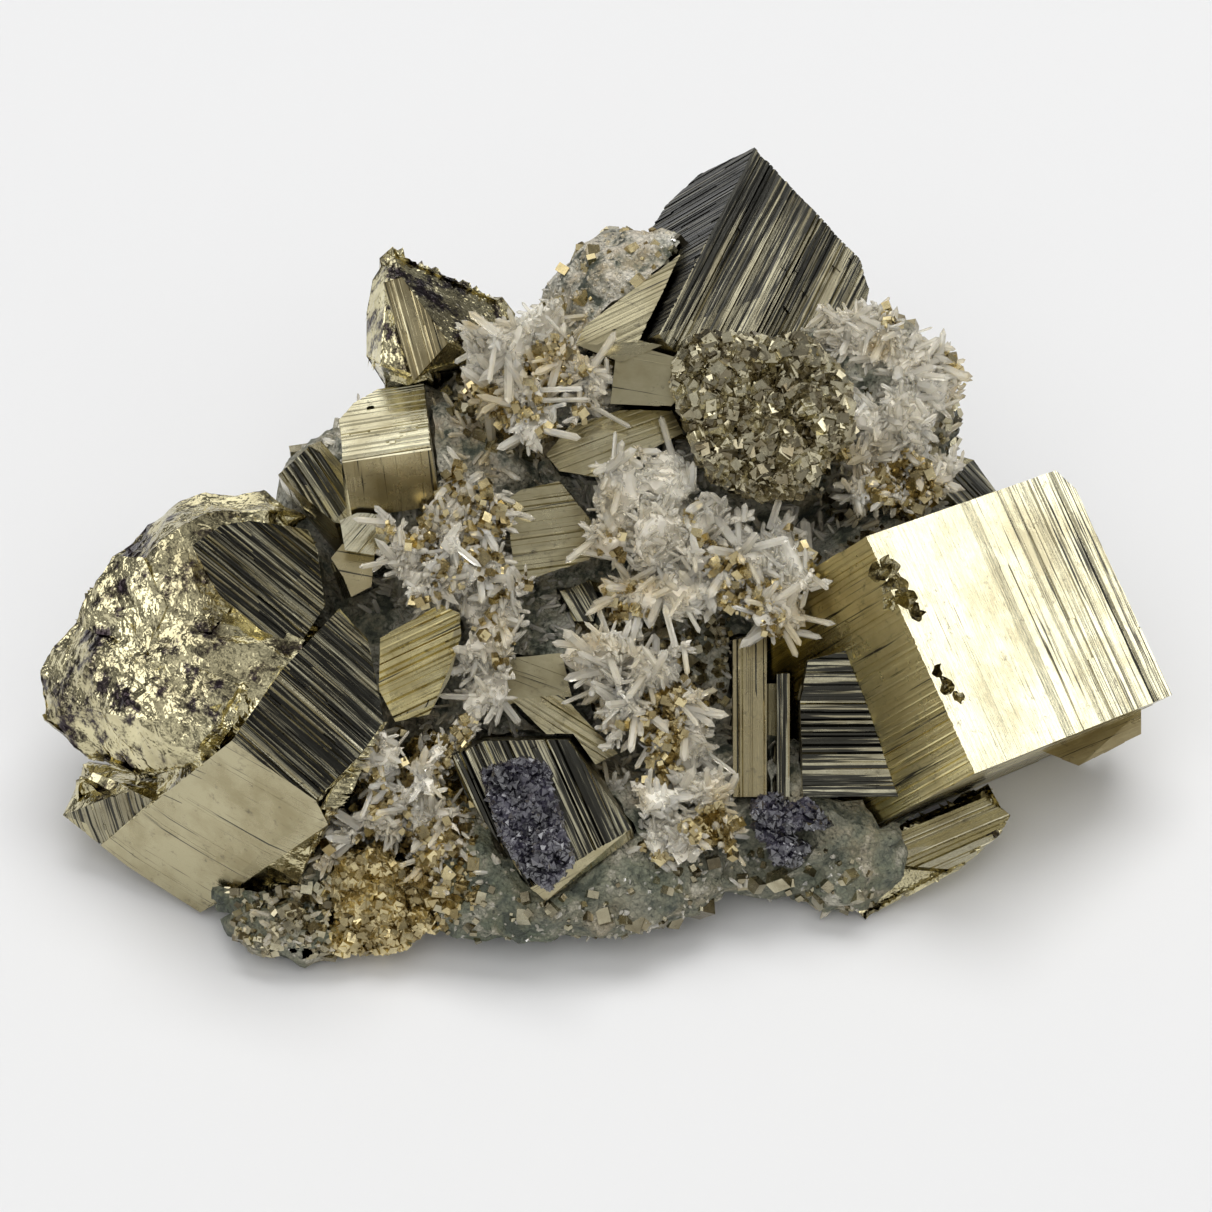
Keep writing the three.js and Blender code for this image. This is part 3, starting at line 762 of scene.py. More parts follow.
def carve(bm, added, cutters, name):
    """Joins closed meshes to a closed mesh and cuts others away from it, one after another."""
    solid = shaped(name, bm)
    helpers = []
    steps = [("UNION", mesh) for mesh in added] + [("DIFFERENCE", mesh) for mesh in cutters]
    for k, (operation, mesh) in enumerate(steps):
        helper = shaped(f"{name}_helper_{k}", mesh)
        change = solid.modifiers.new("change", "BOOLEAN")
        change.operation = operation
        change.solver = "MANIFOLD"
        change.object = helper
        helpers.append(helper)
    bpy.context.view_layer.update()
    result = bpy.data.meshes.new_from_object(solid.evaluated_get(bpy.context.evaluated_depsgraph_get()))
    for helper in [solid, *helpers]:
        shape = helper.data
        bpy.data.objects.remove(helper)
        bpy.data.meshes.remove(shape)
    return result


def lining(width, deep, tilt, grooves, breaks, wide_start=0.0, calm_start=0.0):
    """How a face is stepped: the steps' width, depth and tilt, and shares of grooves and breaks."""
    return {"width": width, "deep": deep, "tilt": tilt, "grooves": grooves, "breaks": breaks,
            "wide_start": wide_start, "calm_start": calm_start}


STYLES = {
    "bold": lining((0.10, 0.46), 0.16, 5.0, 0.45, 0.5),
    "fine": lining((0.10, 0.38), 0.09, 2.6, 0.3, 0.4),
    "broad": lining((0.5, 1.6), 0.10, 1.0, 0.3, 0.6),
    "fading": lining((0.12, 0.45), 0.12, 5.0, 0.35, 0.35, 7.0, 0.96),
    "faint": lining((0.5, 1.8), 0.05, 0.8, 0.15, 0.3),
    "plain": lining((0.7, 2.4), 0.08, 1.2, 0.15, 0.2),
}

# Where a face is seen, which way its lines run there, its style, its look and how dull it is.
LINED = {
    "pyrite_right_cubes": [
        (1040, 620, 66, "fading", SHINING, 0.0), (900, 700, -33, "fine", GOLD, 0.25),
        (840, 730, 0, "bold", DARK, 0.1), (1080, 742, -21, "fine", PALE, 0.1),
        (1110, 745, -21, "faint", BROWN, 0.2),
    ],
    "pyrite_top_cube": [(770, 270, 117, "bold", SLATE, 0.15), (700, 190, -28, "fine", BLACK, 0.0)],
    "pyrite_left_mass": [
        (250, 570, 39, "bold", DARK, 0.0), (300, 700, 41, "bold", DARK, 0.0),
        (240, 830, 35, "broad", PALE, 0.05), (140, 850, 30, "faint", OLIVE, 0.1),
        (100, 810, 75, "fine", SLATE, 0.0),
    ],
    "pyrite_bottom": [(590, 790, 65, "bold", DARK, 0.05), (600, 858, 75, "fine", PALE, 0.1)],
    "pyrite_small_cube": [(385, 420, -9, "bold", SHINING, 0.1), (390, 480, 85, "faint", BROWN, 0.25)],
    "pyrite_golden": [(415, 660, -25, "bold", GOLD, 0.1)],
    "pyrite_pillars": [(750, 720, 90, "fine", BROWN, 0.25), (783, 740, 90, "fine", DARK, 0.1)],
    "pyrite_peak": [(410, 340, 74, "fine", BROWN, 0.2)],
    "pyrite_wedge": [
        (310, 490, 56, "bold", DARK, 0.0), (370, 530, -50, "fine", PALE, 0.15),
        (345, 575, 10, "faint", BROWN, 0.35),
    ],
    "pyrite_upper_block": [(640, 380, 10, "faint", OLIVE, 0.35), (640, 310, -26, "fine", OLIVE, 0.3)],
    "pyrite_center": [(550, 540, -8, "fine", OLIVE, 0.25)],
    "pyrite_center_upper": [(620, 445, -20, "fine", OLIVE, 0.3)],
    "pyrite_low_center": [(540, 680, 20, "faint", OLIVE, 0.35), (570, 730, 32, "bold", OLIVE, 0.2)],
    "pyrite_cavity": [(580, 600, 60, "fine", DARK, 0.2)],
    "pyrite_lower_right": [(930, 860, -22, "bold", PALE, 0.1)],
    "pyrite_dark_corner": [(960, 480, 45, "fine", BLACK, 0.0)],
    "pyrite_back_upper": [],
    "pyrite_back_lower": [],
}


def seen_face(bm, tree, px, py):
    """The triangle of a mesh that is seen at a pixel."""
    eye = FACE_MIDDLE + OUT * EYE_DISTANCE
    way = seen(px, py) - eye
    return bm.faces[tree.ray_cast(Vector(eye), Vector(way / np.linalg.norm(way)))[2]]


def line_facets(name, facets, starts):
    """Gives the faces of a crystal that are in the list their lines and their look."""
    for start, (px, py, angle, style, look, dull) in zip(starts, LINED[name]):
        facet = next(f for f in facets if start in f.faces)
        facet.named = True
        facet.style, facet.dull = style, dull
        facet.tint, facet.painted_dark_lines = look
        facet.along = facet.picture_way(angle)


def blackening(name, facet, places):
    """How the share of black lines, painted dark reflections, grows: across the fading face, and up the top
    cube's front.
    """
    if facet.style == "fading":
        across = places @ facet.cross
        return 0.6 * ((across - across.min()) / np.ptp(across)) ** 1.5
    if facet.style == "bold" and name == "pyrite_top_cube":
        return 0.5 * np.clip((pixels(places)[:, 1] - 300) / -140, 0, 1)
    return 0.0


def mark_faces(name, data, facets):
    """Stores on each face of the carved crystal its tint, partly tarnish and partly painted reflection, its
    share of black lines, painted dark reflections, and its dullness and place along its own lines.
    """
    count = len(data.polygons)
    centres = np.empty(count * 3)
    normals = np.empty(count * 3)
    data.polygons.foreach_get("center", centres)
    data.polygons.foreach_get("normal", normals)
    centres, normals = centres.reshape(-1, 3), normals.reshape(-1, 3)
    best = np.full(count, -1)
    score = np.full(count, -9.0)
    for index, facet in enumerate(facets):
        below = -(centres - facet.point) @ facet.normal
        match = normals @ facet.normal - np.where((below > -0.1) & (below < 0.5), 0, 2)
        better = match > score
        best[better], score[better] = index, match[better]
    # Tints per face: partly tarnish, partly painted reflection.
    tints = np.ones((count, 4))
    tints[:, :3] = np.array([f.tint for f in facets])[best]
    set_attribute(data, "tint", "FLOAT_COLOR", "FACE", tints)
    set_attribute(data, "dull", "FLOAT", "FACE", np.array([f.dull for f in facets])[best])
    # Each face's share of black lines, painted dark reflections.
    painted_dark_lines = np.array([f.painted_dark_lines for f in facets])[best]
    for index, facet in enumerate(facets):
        mine = best == index
        if mine.any():
            painted_dark_lines[mine] += blackening(name, facet, centres[mine])
    set_attribute(data, "painted_dark_lines", "FLOAT", "FACE", painted_dark_lines)
    owner = np.repeat(best, np.array([p.loop_total for p in data.polygons]))
    corners = np.empty(len(data.loops), int)
    data.loops.foreach_get("vertex_index", corners)
    spots = np.array([v.co for v in data.vertices])[corners]
    along = np.array([f.along for f in facets])
    cross = np.array([np.cross(f.normal, f.along) for f in facets])
    streak = np.zeros((len(corners), 3))
    streak[:, 0] = np.einsum("ij,ij->i", spots, along[owner])
    streak[:, 1] = np.einsum("ij,ij->i", spots, cross[owner])
    streak[:, 2] = owner * 7.3
    set_attribute(data, "streak", "FLOAT_VECTOR", "CORNER", streak)


def finish_crystal(name, data, slot):
    """Hands a carved crystal over as the piece that stands for its CAD node."""
    points = np.array([v.co for v in data.vertices])
    data.vertices.foreach_set("co", (fit(points) * MM).ravel())
    data.update()
    settle(new_object(name + "_crystal", data, [STRIATED, BROKEN]), slot, name)


def block_between(corners, depth):
    """A closed convex block under corners that are given by pixel and height out of the face."""
    bm = bmesh.new()
    for px, py, out in corners:
        bm.verts.new(seen(px, py, out))
        bm.verts.new(seen(px, py, out) - OUT * depth)
    bmesh.ops.convex_hull(bm, input=bm.verts)
    bmesh.ops.triangulate(bm, faces=bm.faces)
    for face in bm.faces:
        face.material_index = BROKEN_SLOT
    return bm


def crystal(name, slot, seed, pits=()):
    """A pyrite crystal: its flat faces stepped along their striations, with pits where it is damaged."""
    random = np.random.default_rng(seed)
    rough = name in BROKEN_CRYSTALS
    bm = node_mesh(name)
    bm.faces.ensure_lookup_table()
    tree = BVHTree.FromBMesh(bm)
    starts = [seen_face(bm, tree, row[0], row[1]) for row in LINED[name]]
    facets = find_facets(bm, starts)
    line_facets(name, facets, starts)
    cutters = []
    for facet in facets:
        if rough and broken(facet):
            for face in facet.faces:
                face.material_index = BROKEN_SLOT
        elif facet.area > 2.0:
            cutters.append(terrace_cutter(facet, STYLES[facet.style], random))
    cutters += [pit(spot, size, random) for spot, size in pits]
    added = [block_between(corners, 5.0) for corners in FILLING.get(name, [])]
    data = carve(bm, added, cutters, name)
    if rough:
        break_faces(data, BROKEN_CRYSTALS[name], random)
    mark_faces(name, data, facets)
    if rough:
        mark_dark(data)
    finish_crystal(name, data, slot)


def pit(spot, size, random):
    """A ragged hollow: a rough ball of flat faces."""
    bm = bmesh.new()
    bmesh.ops.create_icosphere(bm, subdivisions=2, radius=size)
    for vert in bm.verts:
        vert.co *= 0.6 + 0.8 * random.random()
        vert.co += Vector(spot)
    for face in bm.faces:
        face.material_index = BROKEN_SLOT
    return bm


# Shell-shaped hollows of the fracture: radius, number and share of the bowl's depth.
HOLLOWS = ((6.0, 30, 0.12), (2.8, 160, 0.18), (1.3, 600, 0.20), (0.6, 1400, 0.12))


def break_faces(data, deepest, random):
    """Turns the faces of the second material into a shell-like fracture: hollows of several sizes."""
    bm = bmesh.new()
    bm.from_mesh(data)
    if not bm.faces.layers.int.get("part"):
        bm.faces.layers.int.new("part")
    bmesh.ops.triangulate(bm, faces=bm.faces)
    faces = refine(bm, [f for f in bm.faces if f.material_index == BROKEN_SLOT], 0.5)
    bm.normal_update()
    own = set(faces)
    verts = list({v for f in faces for v in f.verts})
    points = np.array([v.co for v in verts])
    normals = np.array([v.normal for v in verts])
    free = np.array([all(f in own for f in v.link_faces) for v in verts])
    grain = facing(0.8, -0.55, -0.2)
    stretch = np.eye(3) - 0.55 * np.outer(grain, grain)
    depth = np.zeros(len(points))
    for radius, count, share in HOLLOWS:
        seeds = points[random.integers(0, len(points), count)]
        radii = radius * random.uniform(0.6, 1.3, count)
        depth += scoops(points, seeds, radii, stretch) * share
    ridge = 1 - np.abs(fractal(points @ stretch, 1.6, 3, 5))
    depth += 0.16 * ridge + 0.02 * fractal(points, 0.6, 2, 9) - 0.6
    rim = KDTree(int((~free).sum()))
    for index, spot in enumerate(points[~free]):
        rim.insert(spot, index)
    rim.balance()
    nearest = np.array([rim.find(spot)[2] for spot in points])
    depth *= np.clip(nearest / 0.9, 0, 1)
    moved = points - normals * np.clip(depth, -0.5, deepest)[:, None]
    for vert, spot, loose in zip(verts, moved, free):
        if loose:
            vert.co = spot
    bm.to_mesh(data)
    bm.free()


def facing(across, up, out):
    """The direction with these shares across, up and out of the crystal face."""
    way = ACROSS * across + UP * up + OUT * out
    return way / np.linalg.norm(way)


# How deep the hollows of each broken crystal are at most.
BROKEN_CRYSTALS = {"pyrite_left_mass": 1.5, "pyrite_peak": 0.5, "pyrite_lower_right": 0.5}

# Two blocks of the broken mass, between the two larger ones and at their outer edge.
FILLING = {
    "pyrite_left_mass": [
        [(118, 612, 2.9), (190, 596, 4.7), (262, 630, 5.6), (306, 640, 6.4), (292, 664, 7.8),
         (262, 706, 9.4), (236, 736, 9.8), (200, 700, 8.0), (150, 655, 5.4)],
        [(114, 556, 0.6), (101, 575, 0.4), (88, 598, 0.2), (74, 622, 0.0), (146, 654, 5.2),
         (166, 606, 4.6), (142, 560, 2.4)],
    ],
}

# Dark places of the broken pyrite: a pixel and how far the dark reaches around it.
DARK_SPOTS = [(95, 690, 70), (140, 550, 40), (55, 690, 40), (185, 650, 34), (100, 640, 40), (210, 700, 30),
              (385, 255, 34), (450, 300, 50), (370, 330, 40)]


def mark_dark(data):
    """How dark-spotted the broken pyrite is, by its distance from a few places."""
    places = pixels(np.array([v.co for v in data.vertices]))
    set_attribute(data, "dark", "FLOAT", "POINT", np.maximum(near_spots(places, DARK_SPOTS), 0.1))


def broken(facet):
    """Whether a face of a broken crystal is broken: all are, except behind and those in the list."""
    return not facet.named and facet.normal @ OUT > -0.5


# Small things on a surface

def sample(points, triangles, count, random, allowed=None):
    """Random spots on a surface, with the way it faces there."""
    a, b, c = points[triangles[:, 0]], points[triangles[:, 1]], points[triangles[:, 2]]
    across = np.cross(b - a, c - a)
    twice = np.maximum(np.linalg.norm(across, axis=1), 1e-12)
    weights = twice.copy()
    if allowed is not None:
        weights *= allowed((a + b + c) / 3, across / twice[:, None])
    picks = random.choice(len(triangles), count, p=weights / weights.sum())
    first, second = random.random(count), random.random(count)
    flip = first + second > 1
    first[flip], second[flip] = 1 - first[flip], 1 - second[flip]
    spots = a[picks] + (b - a)[picks] * first[:, None] + (c - a)[picks] * second[:, None]
    return spots, (across / twice[:, None])[picks]


def frames(ways, random):
    """Two directions square to each given one, turned at random about it."""
    helper = random.normal(size=ways.shape)
    side = np.cross(ways, helper)
    side /= np.linalg.norm(side, axis=1)[:, None]
    return side, np.cross(ways, side)


def turned(count, random):
    """Three directions square to each other, turned at random for each of many."""
    ways = random.normal(size=(count, 3))
    ways /= np.linalg.norm(ways, axis=1)[:, None]
    return ways, *frames(ways, random)


def copies(points, pattern):
    """Many alike shapes, from the points of each and the triangles of one, as points and triangles."""
    count, size = points.shape[:2]
    triangles = np.array(pattern)[None] + (np.arange(count) * size)[:, None, None]
    return points.reshape(-1, 3), triangles.reshape(-1, 3)


def needles(feet, ways, lengths, radii, random):
    """Six-sided quartz crystals with pointed ends, as points and triangles."""
    side, other = frames(ways, random)
    count = len(feet)
    flat = random.uniform(0.75, 1.2, count)
    tip = radii * random.uniform(1.1, 2.0, count)
    points = np.empty((count, 13, 3))
    for k in range(6):
        angle = k * math.pi / 3
        rim = side * (radii * math.cos(angle))[:, None] + other * (radii * flat * math.sin(angle))[:, None]
        shoulder = lengths - tip * random.uniform(0.75, 1.2, count)
        points[:, k] = feet + rim
        points[:, 6 + k] = feet + rim * 0.92 + ways * shoulder[:, None]
    lean = (side * random.uniform(-0.4, 0.4, count)[:, None]) * radii[:, None]
    points[:, 12] = feet + ways * lengths[:, None] + lean
    pattern = []
    for k in range(6):
        following = (k + 1) % 6
        pattern += [(k, following, 6 + following), (k, 6 + following, 6 + k), (6 + k, 6 + following, 12)]
    pattern += [(0, k + 1, k) for k in range(1, 5)]
    return copies(points, pattern)


def cubes(spots, sizes, random, squash=0.25):
    """Small blocks at random turns, as points and triangles."""
    count = len(spots)
    ways, side, other = turned(count, random)
    lengths = sizes[:, None] * random.uniform(1 - squash, 1 + squash, (count, 3)) / 2
    points = np.empty((count, 8, 3))
    for k, (x, y, z) in enumerate(np.ndindex(2, 2, 2)):
        points[:, k] = spots + side * lengths[:, :1] * (2 * x - 1) + other * lengths[:, 1:2] * (2 * y - 1)
        points[:, k] += ways * lengths[:, 2:] * (2 * z - 1)
    return copies(points, [(0, 1, 3), (0, 3, 2), (4, 6, 7), (4, 7, 5), (0, 4, 5), (0, 5, 1),
                           (2, 3, 7), (2, 7, 6), (0, 2, 6), (0, 6, 4), (1, 5, 7), (1, 7, 3)])


def chunks(spots, sizes, random):
    """Small octahedra with uneven points, as points and triangles."""
    count = len(spots)
    ways, side, other = turned(count, random)
    points = np.empty((count, 6, 3))
    for k, axis in enumerate([side, -side, other, -other, ways, -ways]):
        points[:, k] = spots + axis * (sizes * random.uniform(0.6, 1.2, count))[:, None]
    return copies(points, [(0, 2, 4), (2, 1, 4), (1, 3, 4), (3, 0, 4), (2, 0, 5), (1, 2, 5),
                           (3, 1, 5), (0, 3, 5)])


# Rusty places: a pixel and how far the rust reaches around it.
RUST = [(590, 355, 26), (935, 485, 24), (505, 845, 18), (420, 760, 16), (470, 320, 10), (510, 300, 10),
        (705, 700, 22), (440, 790, 14), (640, 800, 14), (880, 345, 18), (860, 515, 10), (590, 320, 18),
        (465, 435, 20), (815, 410, 10), (250, 665, 8), (640, 760, 10), (400, 945, 16)]


def stain_of(points):
    """How rusty a spot is, by its distance from the rusty places."""
    everywhere = 0.22 + 0.6 * np.clip(fractal(points, 5.0, 3, 21), 0, 1)
    return np.maximum(everywhere, 0.8 * near_spots(pixels(points), RUST))


def lumpy(name, target, depth, seed, random):
    """A CAD node with its surface split finely and moved in and out by noise."""
    bm, points, normals = fine_mesh(name, target)
    height = fractal(points, 3.2, 3, seed) * depth
    seeds = points[random.integers(0, len(points), 500)]
    height -= scoops(points, seeds, random.uniform(0.4, 1.4, 500)) * 0.4
    return moved_surface(bm, points + normals * height[:, None])


def radiating(spots, normals, random, reach, loose):
    """Directions that spread from centres under the surface, so that needles stand in bundles."""
    centres = spots[random.integers(0, len(spots), max(len(spots) // 14, 3))]
    away = np.linalg.norm(spots[:, None] - centres[None], axis=2)
    nearest = away.argmin(axis=1)
    ways = spots - (centres[nearest] - normals * reach)
    ways /= np.linalg.norm(ways, axis=1)[:, None] + 1e-9
    ways += random.normal(0, loose, ways.shape)
    inward = np.einsum("ij,ij->i", ways, normals)
    ways += normals * np.clip(0.25 - inward, 0, 2)[:, None]
    return ways / np.linalg.norm(ways, axis=1)[:, None]


def outward(lift):
    """A rule that favours spots which face the front, and leaves few on the back."""
    def allowed(_, ways):
        return np.clip(ways @ OUT + lift, 0.02, 1)
    return allowed


# Two kinds of short needles: share of the number, length, radius and how loosely they are bundled.
SHORT_NEEDLES = [(1.3, (0.25, 0.85), (0.10, 0.26), 0.9), (0.4, (0.8, 1.7), (0.12, 0.28), 0.5)]


def quartz(name, density, longest, seed):
    """A spray of quartz: a milky root and needles in bundles over it."""
    random = np.random.default_rng(seed)
    core = lumpy(name, 0.5, 0.3, seed, random)
    points, triangles = surface_of(name)
    a, b, c = (points[triangles[:, k]] for k in range(3))
    area = np.linalg.norm(np.cross(b - a, c - a), axis=1).sum() / 2
    parts = [core]
    kinds = [*SHORT_NEEDLES, (0.16, (1.6, longest), (0.18, 0.42), 0.55)]
    for share, length, radius, loose in kinds:
        count = int(area * density * share)
        spots, normals = sample(points, triangles, count, random, outward(0.35))
        ways = radiating(spots, normals, random, 1.6, loose)
        lengths = random.uniform(*length, count)
        radii = random.uniform(*radius, count)
        parts.append(needles(spots - ways * 0.3, ways, lengths, radii, random))
    points, triangles = joined(parts)
    data = mesh_from_arrays(name + "_crystals", points, triangles)
    set_attribute(data, "stain", "FLOAT", "POINT", stain_of(points))
    slots = np.zeros(len(triangles), np.int32)
    slots[: len(core[1])] = 1
    piece = new_object(name + "_crystals", data, [NEEDLES, MILKY])
    data.polygons.foreach_set("material_index", slots)
    settle(piece, "quartz", name)


def druse(name, material, sizes, count, seed):
    """A crust of small pyrite cubes on the solid of their form."""
    random = np.random.default_rng(seed)
    core = lumpy(name, 0.9, 0.10, seed, random)
    points, triangles = surface_of(name)
    spots, normals = sample(points, triangles, count, random, outward(0.3))
    edge = sizes[0] + (sizes[1] - sizes[0]) * random.random(count) ** 2.2
    grains = cubes(spots - normals * (edge * 0.1)[:, None], edge, random)
    points, triangles = joined([core, grains])
    data = mesh_from_arrays(name + "_grains", points, triangles)
    # The core gets a fixed low tone, the deep colour: painted shade in the gaps between the grains. Each
    # grain's tone is random.
    tone_and_painted_shade = np.concatenate([np.full(len(core[0]), 0.15), np.repeat(random.random(count), 8)])
    set_attribute(data, "tone_and_painted_shade", "FLOAT", "POINT", tone_and_painted_shade)
    settle(new_object(name + "_grains", data, [material]), "pyrite_grain", name)


def in_nests(middles, ways):
    """A rule for grains that sit in nests on the front."""
    return np.clip(ways @ OUT, 0, 1) * (fractal(middles, 4.0, 2, 45) > 0.1)


GRAINS_A_SPRAY = 260


def grains_on_quartz():
    """Small golden pyrite cubes between the needles."""
    random = np.random.default_rng(66)
    parts = []
    for name in QUARTZ:
        points, triangles = surface_of(name)
        spots, normals = sample(points, triangles, GRAINS_A_SPRAY, random, in_nests)
        sizes = 0.2 + 0.6 * random.random(GRAINS_A_SPRAY) ** 2
        parts.append(cubes(spots + normals * 0.2, sizes, random))
    points, triangles = joined(parts)
    data = mesh_from_arrays("pyrite_on_quartz", points, triangles)
    set_attribute(data, "tone_and_painted_shade", "FLOAT", "POINT", np.repeat(random.random(len(points) // 8), 8))
    settle(new_object("pyrite_on_quartz", data, [GOLDEN_GRAINS]), "pyrite_grain")


def blende(name, count, seed):
    """A crust of small dark crystals on the solid of their form."""
    random = np.random.default_rng(seed)
    core = lumpy(name, 0.6, 0.12, seed, random)
    points, triangles = surface_of(name)
    spots, normals = sample(points, triangles, count, random)
    grains = chunks(spots - normals * 0.1, random.uniform(0.15, 0.5, count), random)
    points, triangles = joined([core, grains])
    data = mesh_from_arrays(name + "_crystals", points, triangles)
    settle(new_object(name + "_crystals", data, [BLENDE]), "sphalerite", name)


# Rock

# Polygons of the picture: the pale crusted rock at the top, and the bare band at the foot.
CRUSTED = [(513, 310), (545, 285), (570, 250), (600, 235), (640, 222), (690, 225), (680, 290), (600, 330),
           (560, 345)]
LOW_BAND = [(400, 860), (560, 900), (690, 850), (870, 850), (880, 940), (700, 935), (560, 960), (400, 965)]


def rock():
    """The rock: lumps, hollows and a rough skin, flat where it rests."""
    random = np.random.default_rng(77)
    bm, points, normals = fine_mesh("matrix_rock", 0.82)
    height = 0.42 * fractal(points, 4.5, 3, 3) + 0.22 * fractal(points, 1.7, 2, 8)
    seeds = points[random.integers(0, len(points), 3000)]
    height -= 0.4 * scoops(points, seeds, random.uniform(0.5, 2.0, 3000))
    height += 0.45
    base = points[:, 2] < 0.4
    height[base] = np.minimum(height[base], 0)
    moved = points + normals * height[:, None]
    moved[points[:, 2] < 0.01, 2] = 0.002
    points, triangles = moved_surface(bm, moved)
    data = mesh_from_arrays("matrix_rock_surface", points, triangles)
    places = pixels(points)
    crust = np.where(inside(places, CRUSTED) & (points @ OUT > -30), 1.0, 0.0)
    # Paler higher up and away from the table, so that the low band and the rock near the table stay darker:
    # painted shade under the overhang.
    upper = np.clip((900 - places[:, 1]) / 120, 0, 1) * np.clip((points[:, 2] - 6) / 4, 0, 1)
    set_attribute(data, "crust", "FLOAT", "POINT", np.maximum(crust, 0.45 * upper))
    set_attribute(data, "stain", "FLOAT", "POINT", stain_of(points) * 0.5)
    settle(new_object("matrix_rock_surface", data, [ROCK]), "rock", "matrix_rock")
    return points, triangles


def on_front(corners):
    """A rule for spots of the rock that are seen inside a polygon of the picture."""
    def allowed(middles, ways):
        return inside(pixels(middles), corners) * np.clip(ways @ OUT + 0.1, 0, 1)
    return allowed


def needles_behind(middles, ways):
    """A rule for needles in patches on the back of the rock."""
    return np.clip(ways @ -OUT, 0, 1) * (fractal(middles, 9.0, 2, 14) > 0.35)


def grains_behind(middles, ways):
    """A rule for grains in patches on the back of the rock, off the table."""
    patches = fractal(middles, 8.0, 2, 31) > 0.4
    return patches * np.clip(-0.1 - ways @ OUT, 0, 1) * (middles[:, 2] > 2)


FRONT = [(300, 300), (520, 280), (700, 330), (960, 300), (1000, 500), (880, 620), (740, 840), (640, 850),
         (420, 900), (300, 960), (230, 920), (330, 840), (380, 640), (330, 520), (280, 460)]


def scatter_quartz(surface):
    """Small quartz needles all over the front of the rock, fewer on its back."""
    random = np.random.default_rng(88)
    points, triangles = surface
    parts = []
    zones = [(on_front(FRONT), 2400, (0.4, 1.9)), (on_front(CRUSTED), 500, (0.2, 0.6)),
             (on_front(LOW_BAND), 260, (0.2, 0.6)), (needles_behind, 700, (0.5, 1.4))]
    for allowed, count, length in zones:
        spots, normals = sample(points, triangles, count, random, allowed)
        ways = radiating(spots, normals, random, 1.4, 0.4)
        lengths = random.uniform(*length, count)
        parts.append(needles(spots - ways * 0.25, ways, lengths, random.uniform(0.1, 0.26, count), random))
    points, triangles = joined(parts)
    data = mesh_from_arrays("quartz_scattered", points, triangles)
    set_attribute(data, "stain", "FLOAT", "POINT", stain_of(points))
    settle(new_object("quartz_scattered", data, [NEEDLES]), "quartz")


BEHIND = 900  # grains on the back

# Patches of grains on the rock: the polygon in the picture, the number and the material.
GRAIN_ZONES = [
    ([(340, 740), (400, 730), (470, 745), (480, 900), (420, 955), (330, 950), (320, 860)], 900,
     GOLDEN_GRAINS),
    ([(340, 370), (360, 360), (520, 300), (560, 330), (560, 470), (470, 440), (440, 390)], 260, GRAINS),
    ([(570, 580), (720, 560), (740, 700), (600, 720)], 420, GRAINS),
    ([(800, 380), (960, 400), (960, 520), (860, 560), (820, 500)], 320, GRAINS),
    ([(230, 890), (330, 880), (340, 960), (240, 950)], 260, GRAINS),
    (LOW_BAND, 110, GRAINS),
    (CRUSTED, 50, GOLDEN_GRAINS),
]


def scatter_grains(surface):
    """Small pyrite cubes in patches of the rock, one piece for each colour."""
    random = np.random.default_rng(99)
    points, triangles = surface
    for material, name in ((GOLDEN_GRAINS, "pyrite_scattered_golden"), (GRAINS, "pyrite_scattered")):
        parts = []
        for corners, count, kind in GRAIN_ZONES:
            if kind is material:
                spots, _ = sample(points, triangles, count, random, on_front(corners))
                parts.append(cubes(spots, 0.25 + 0.7 * random.random(count) ** 2, random))
        if material is GRAINS:
            spots, _ = sample(points, triangles, BEHIND, random, grains_behind)
            parts.append(cubes(spots, 0.4 + 1.1 * random.random(BEHIND) ** 2.5, random))
        made, corners = joined(parts)
        data = mesh_from_arrays(name, made, corners)
        set_attribute(data, "tone_and_painted_shade", "FLOAT", "POINT", np.repeat(random.random(len(made) // 8), 8))
        settle(new_object(name, data, [material]), "pyrite_grain")


# The room

def floor_material():
    """A pale, dull surface with hardly any pattern."""
    g = Graph("floor_pale")
    shades = g.noise(g.place(), 3.0, 2.0)
    body = g.mix(shades, colour(0.82, 0.82, 0.8241), colour(0.8077, 0.8077, 0.8077))
    return g.finish(Base_Color=body, Roughness=0.75)


def floor():
    """The surface that the specimen rests on."""
    bpy.ops.mesh.primitive_plane_add(size=6.0)
    plane = bpy.context.object
    plane.name = "floor"
    plane.data.materials.append(floor_material())


def lamp(name, way, distance, size, power, mirrored):
    """An area lamp that faces the specimen: it is only mirrored in the crystals, or only lights them."""
    data = bpy.data.lights.new(name, "AREA")
    data.shape = "RECTANGLE"
    data.size, data.size_y = size
    data.energy = power
    piece = bpy.data.objects.new(name, data)
    bpy.context.scene.collection.objects.link(piece)
    towards = Vector(way).normalized()
    piece.location = towards * distance + Vector((0, 0, 0.018))
    piece.rotation_euler = towards.to_track_quat("Z", "Y").to_euler()
    piece.visible_glossy = mirrored
    piece.visible_diffuse = not mirrored
    piece.visible_camera = False


# The direction, the distance in metres, the size, the power in watts and whether it is only mirrored.
LAMPS = {
    "key_overhead": ((0.08, 0.25, 1.0), 0.9, (0.7, 0.5), 4.9, False),
    "fill_front": ((-0.1, -0.6, 1.0), 1.1, (1.0, 0.7), 3.3, False),
    "window_left": ((-0.78, 0.10, 0.62), 0.7, (0.45, 0.35), 1.0, True),
    "window_right": ((0.84, 0.25, 0.50), 0.7, (0.62, 0.27), 1.15, True),
    "window_back": ((-0.10, 0.84, 0.50), 0.8, (0.75, 0.5), 1.5, True),
}

ROOM_SEEN = 0.82  # brightness of the room where the camera sees it


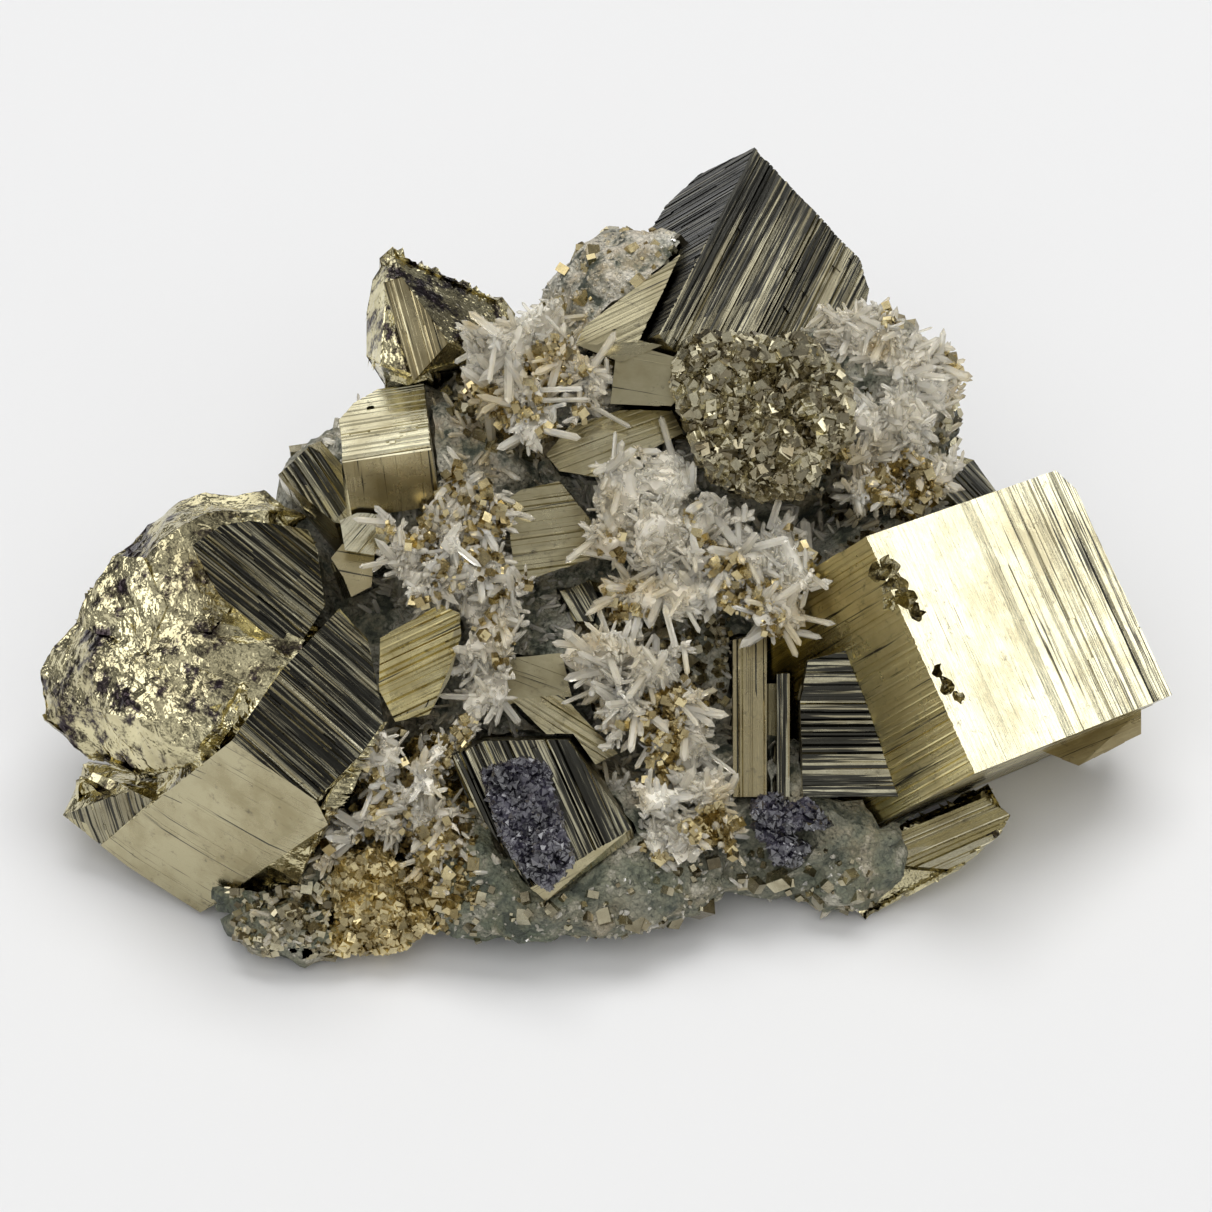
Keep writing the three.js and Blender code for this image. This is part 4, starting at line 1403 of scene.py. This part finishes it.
def world():
    """The room: even and white to the camera, and lighter and darker in what the crystals mirror."""
    g = Graph("room", room=True)
    way = g.node("ShaderNodeTexCoord").outputs["Generated"]
    frontal = g.node("ShaderNodeVectorMath", operation="DOT_PRODUCT")
    g.link(way, frontal.inputs[0])
    frontal.inputs[1].default_value = (0.0, -0.95, 0.3)
    level = g.spread(frontal.outputs["Value"], -0.4, 0.75, 0.14, 0.6)
    parts = g.spread(g.noise(way, 3.4, 2.0, 0.5), 0.38, 0.62, 0.3, 1.7)
    mirrored = g.math("MULTIPLY", level, parts)
    path = g.node("ShaderNodeLightPath")
    direct = g.math("MAXIMUM", path.outputs["Is Camera Ray"], path.outputs["Is Transmission Ray"])
    mix = g.node("ShaderNodeMix")
    for socket, value in ((0, direct), (2, mirrored), (3, ROOM_SEEN)):
        g.put(mix.inputs[socket], value)
    bpy.context.scene.world = g.finish(Strength=mix.outputs[0], Color=colour(1.0, 1.0, 1.0))


def camera():
    """The camera looks square at the crystal face, from the distance that the picture shows."""
    data = bpy.data.cameras.new("camera")
    data.sensor_width = SENSOR
    data.lens = SENSOR * EYE_DISTANCE / (PICTURE * PIXEL)
    data.clip_start = 0.01
    piece = bpy.data.objects.new("camera", data)
    bpy.context.scene.collection.objects.link(piece)
    piece.location = Vector((FACE_MIDDLE + OUT * EYE_DISTANCE) * MM)
    piece.rotation_euler = Vector(OUT).to_track_quat("Z", "Y").to_euler()
    bpy.context.scene.camera = piece


# Damaged places of the crystals: the middle and the size of each pit.
PITS = {
    "pyrite_right_cubes": [
        (seen(884, 572, 7.6), 1.1), (seen(893, 585, 7.6), 1.0), (seen(905, 600, 7.8), 1.2),
        (seen(897, 562, 7.6), 0.7), (seen(917, 613, 7.8), 0.8), (seen(890, 602, 7.6), 0.7),
        (seen(933, 672, 8.0), 0.8), (seen(945, 688, 8.2), 1.0), (seen(957, 698, 8.2), 0.6),
        (seen(938, 700, 8.0), 0.7),
    ],
    "pyrite_bottom": [(seen(560, 850, 8.5), 0.9), (seen(575, 815, 8.0), 0.7)],
    "pyrite_small_cube": [(seen(360, 405, -2.0), 0.5), (seen(372, 410, -1.0), 0.4)],
}

SLOTS = {
    "pyrite_right_cubes": "pyrite_bright", "pyrite_small_cube": "pyrite_bright",
    "pyrite_golden": "pyrite_bright", "pyrite_lower_right": "pyrite_bright",
}

# Needles on each square millimetre, and the longest of them in millimetres.
QUARTZ = {
    "quartz_upper_left": (1.1, 4.2), "quartz_center_left": (1.2, 2.8), "quartz_center": (1.1, 3.4),
    "quartz_lower_center": (1.1, 4.2), "quartz_upper_right": (1.4, 2.2), "quartz_lower_left": (1.0, 3.2),
    "quartz_bottom_center": (1.1, 2.2), "quartz_back": (1.0, 2.6),
}


def main():
    """The camera and the light first, then the specimen from its largest crystals to its small grains."""
    bpy.context.scene.view_settings.view_transform = "Standard"
    camera()
    floor()
    for name, settings in LAMPS.items():
        lamp(name, *settings)
    world()
    for seed, name in enumerate(LINED):
        crystal(name, SLOTS.get(name, "pyrite_dark"), 100 + seed, PITS.get(name, ()))
    druse("pyrite_druse_block", GRAINS, (0.22, 0.95), 6500, 5)
    druse("pyrite_druse_lower", GOLDEN_GRAINS, (0.22, 0.75), 2000, 6)
    blende("sphalerite_crust", 1500, 7)
    blende("sphalerite_patch", 900, 8)
    surface = rock()
    for seed, (name, (density, longest)) in enumerate(QUARTZ.items()):
        quartz(name, density, longest, 200 + seed)
    grains_on_quartz()
    scatter_quartz(surface)
    scatter_grains(surface)


main()
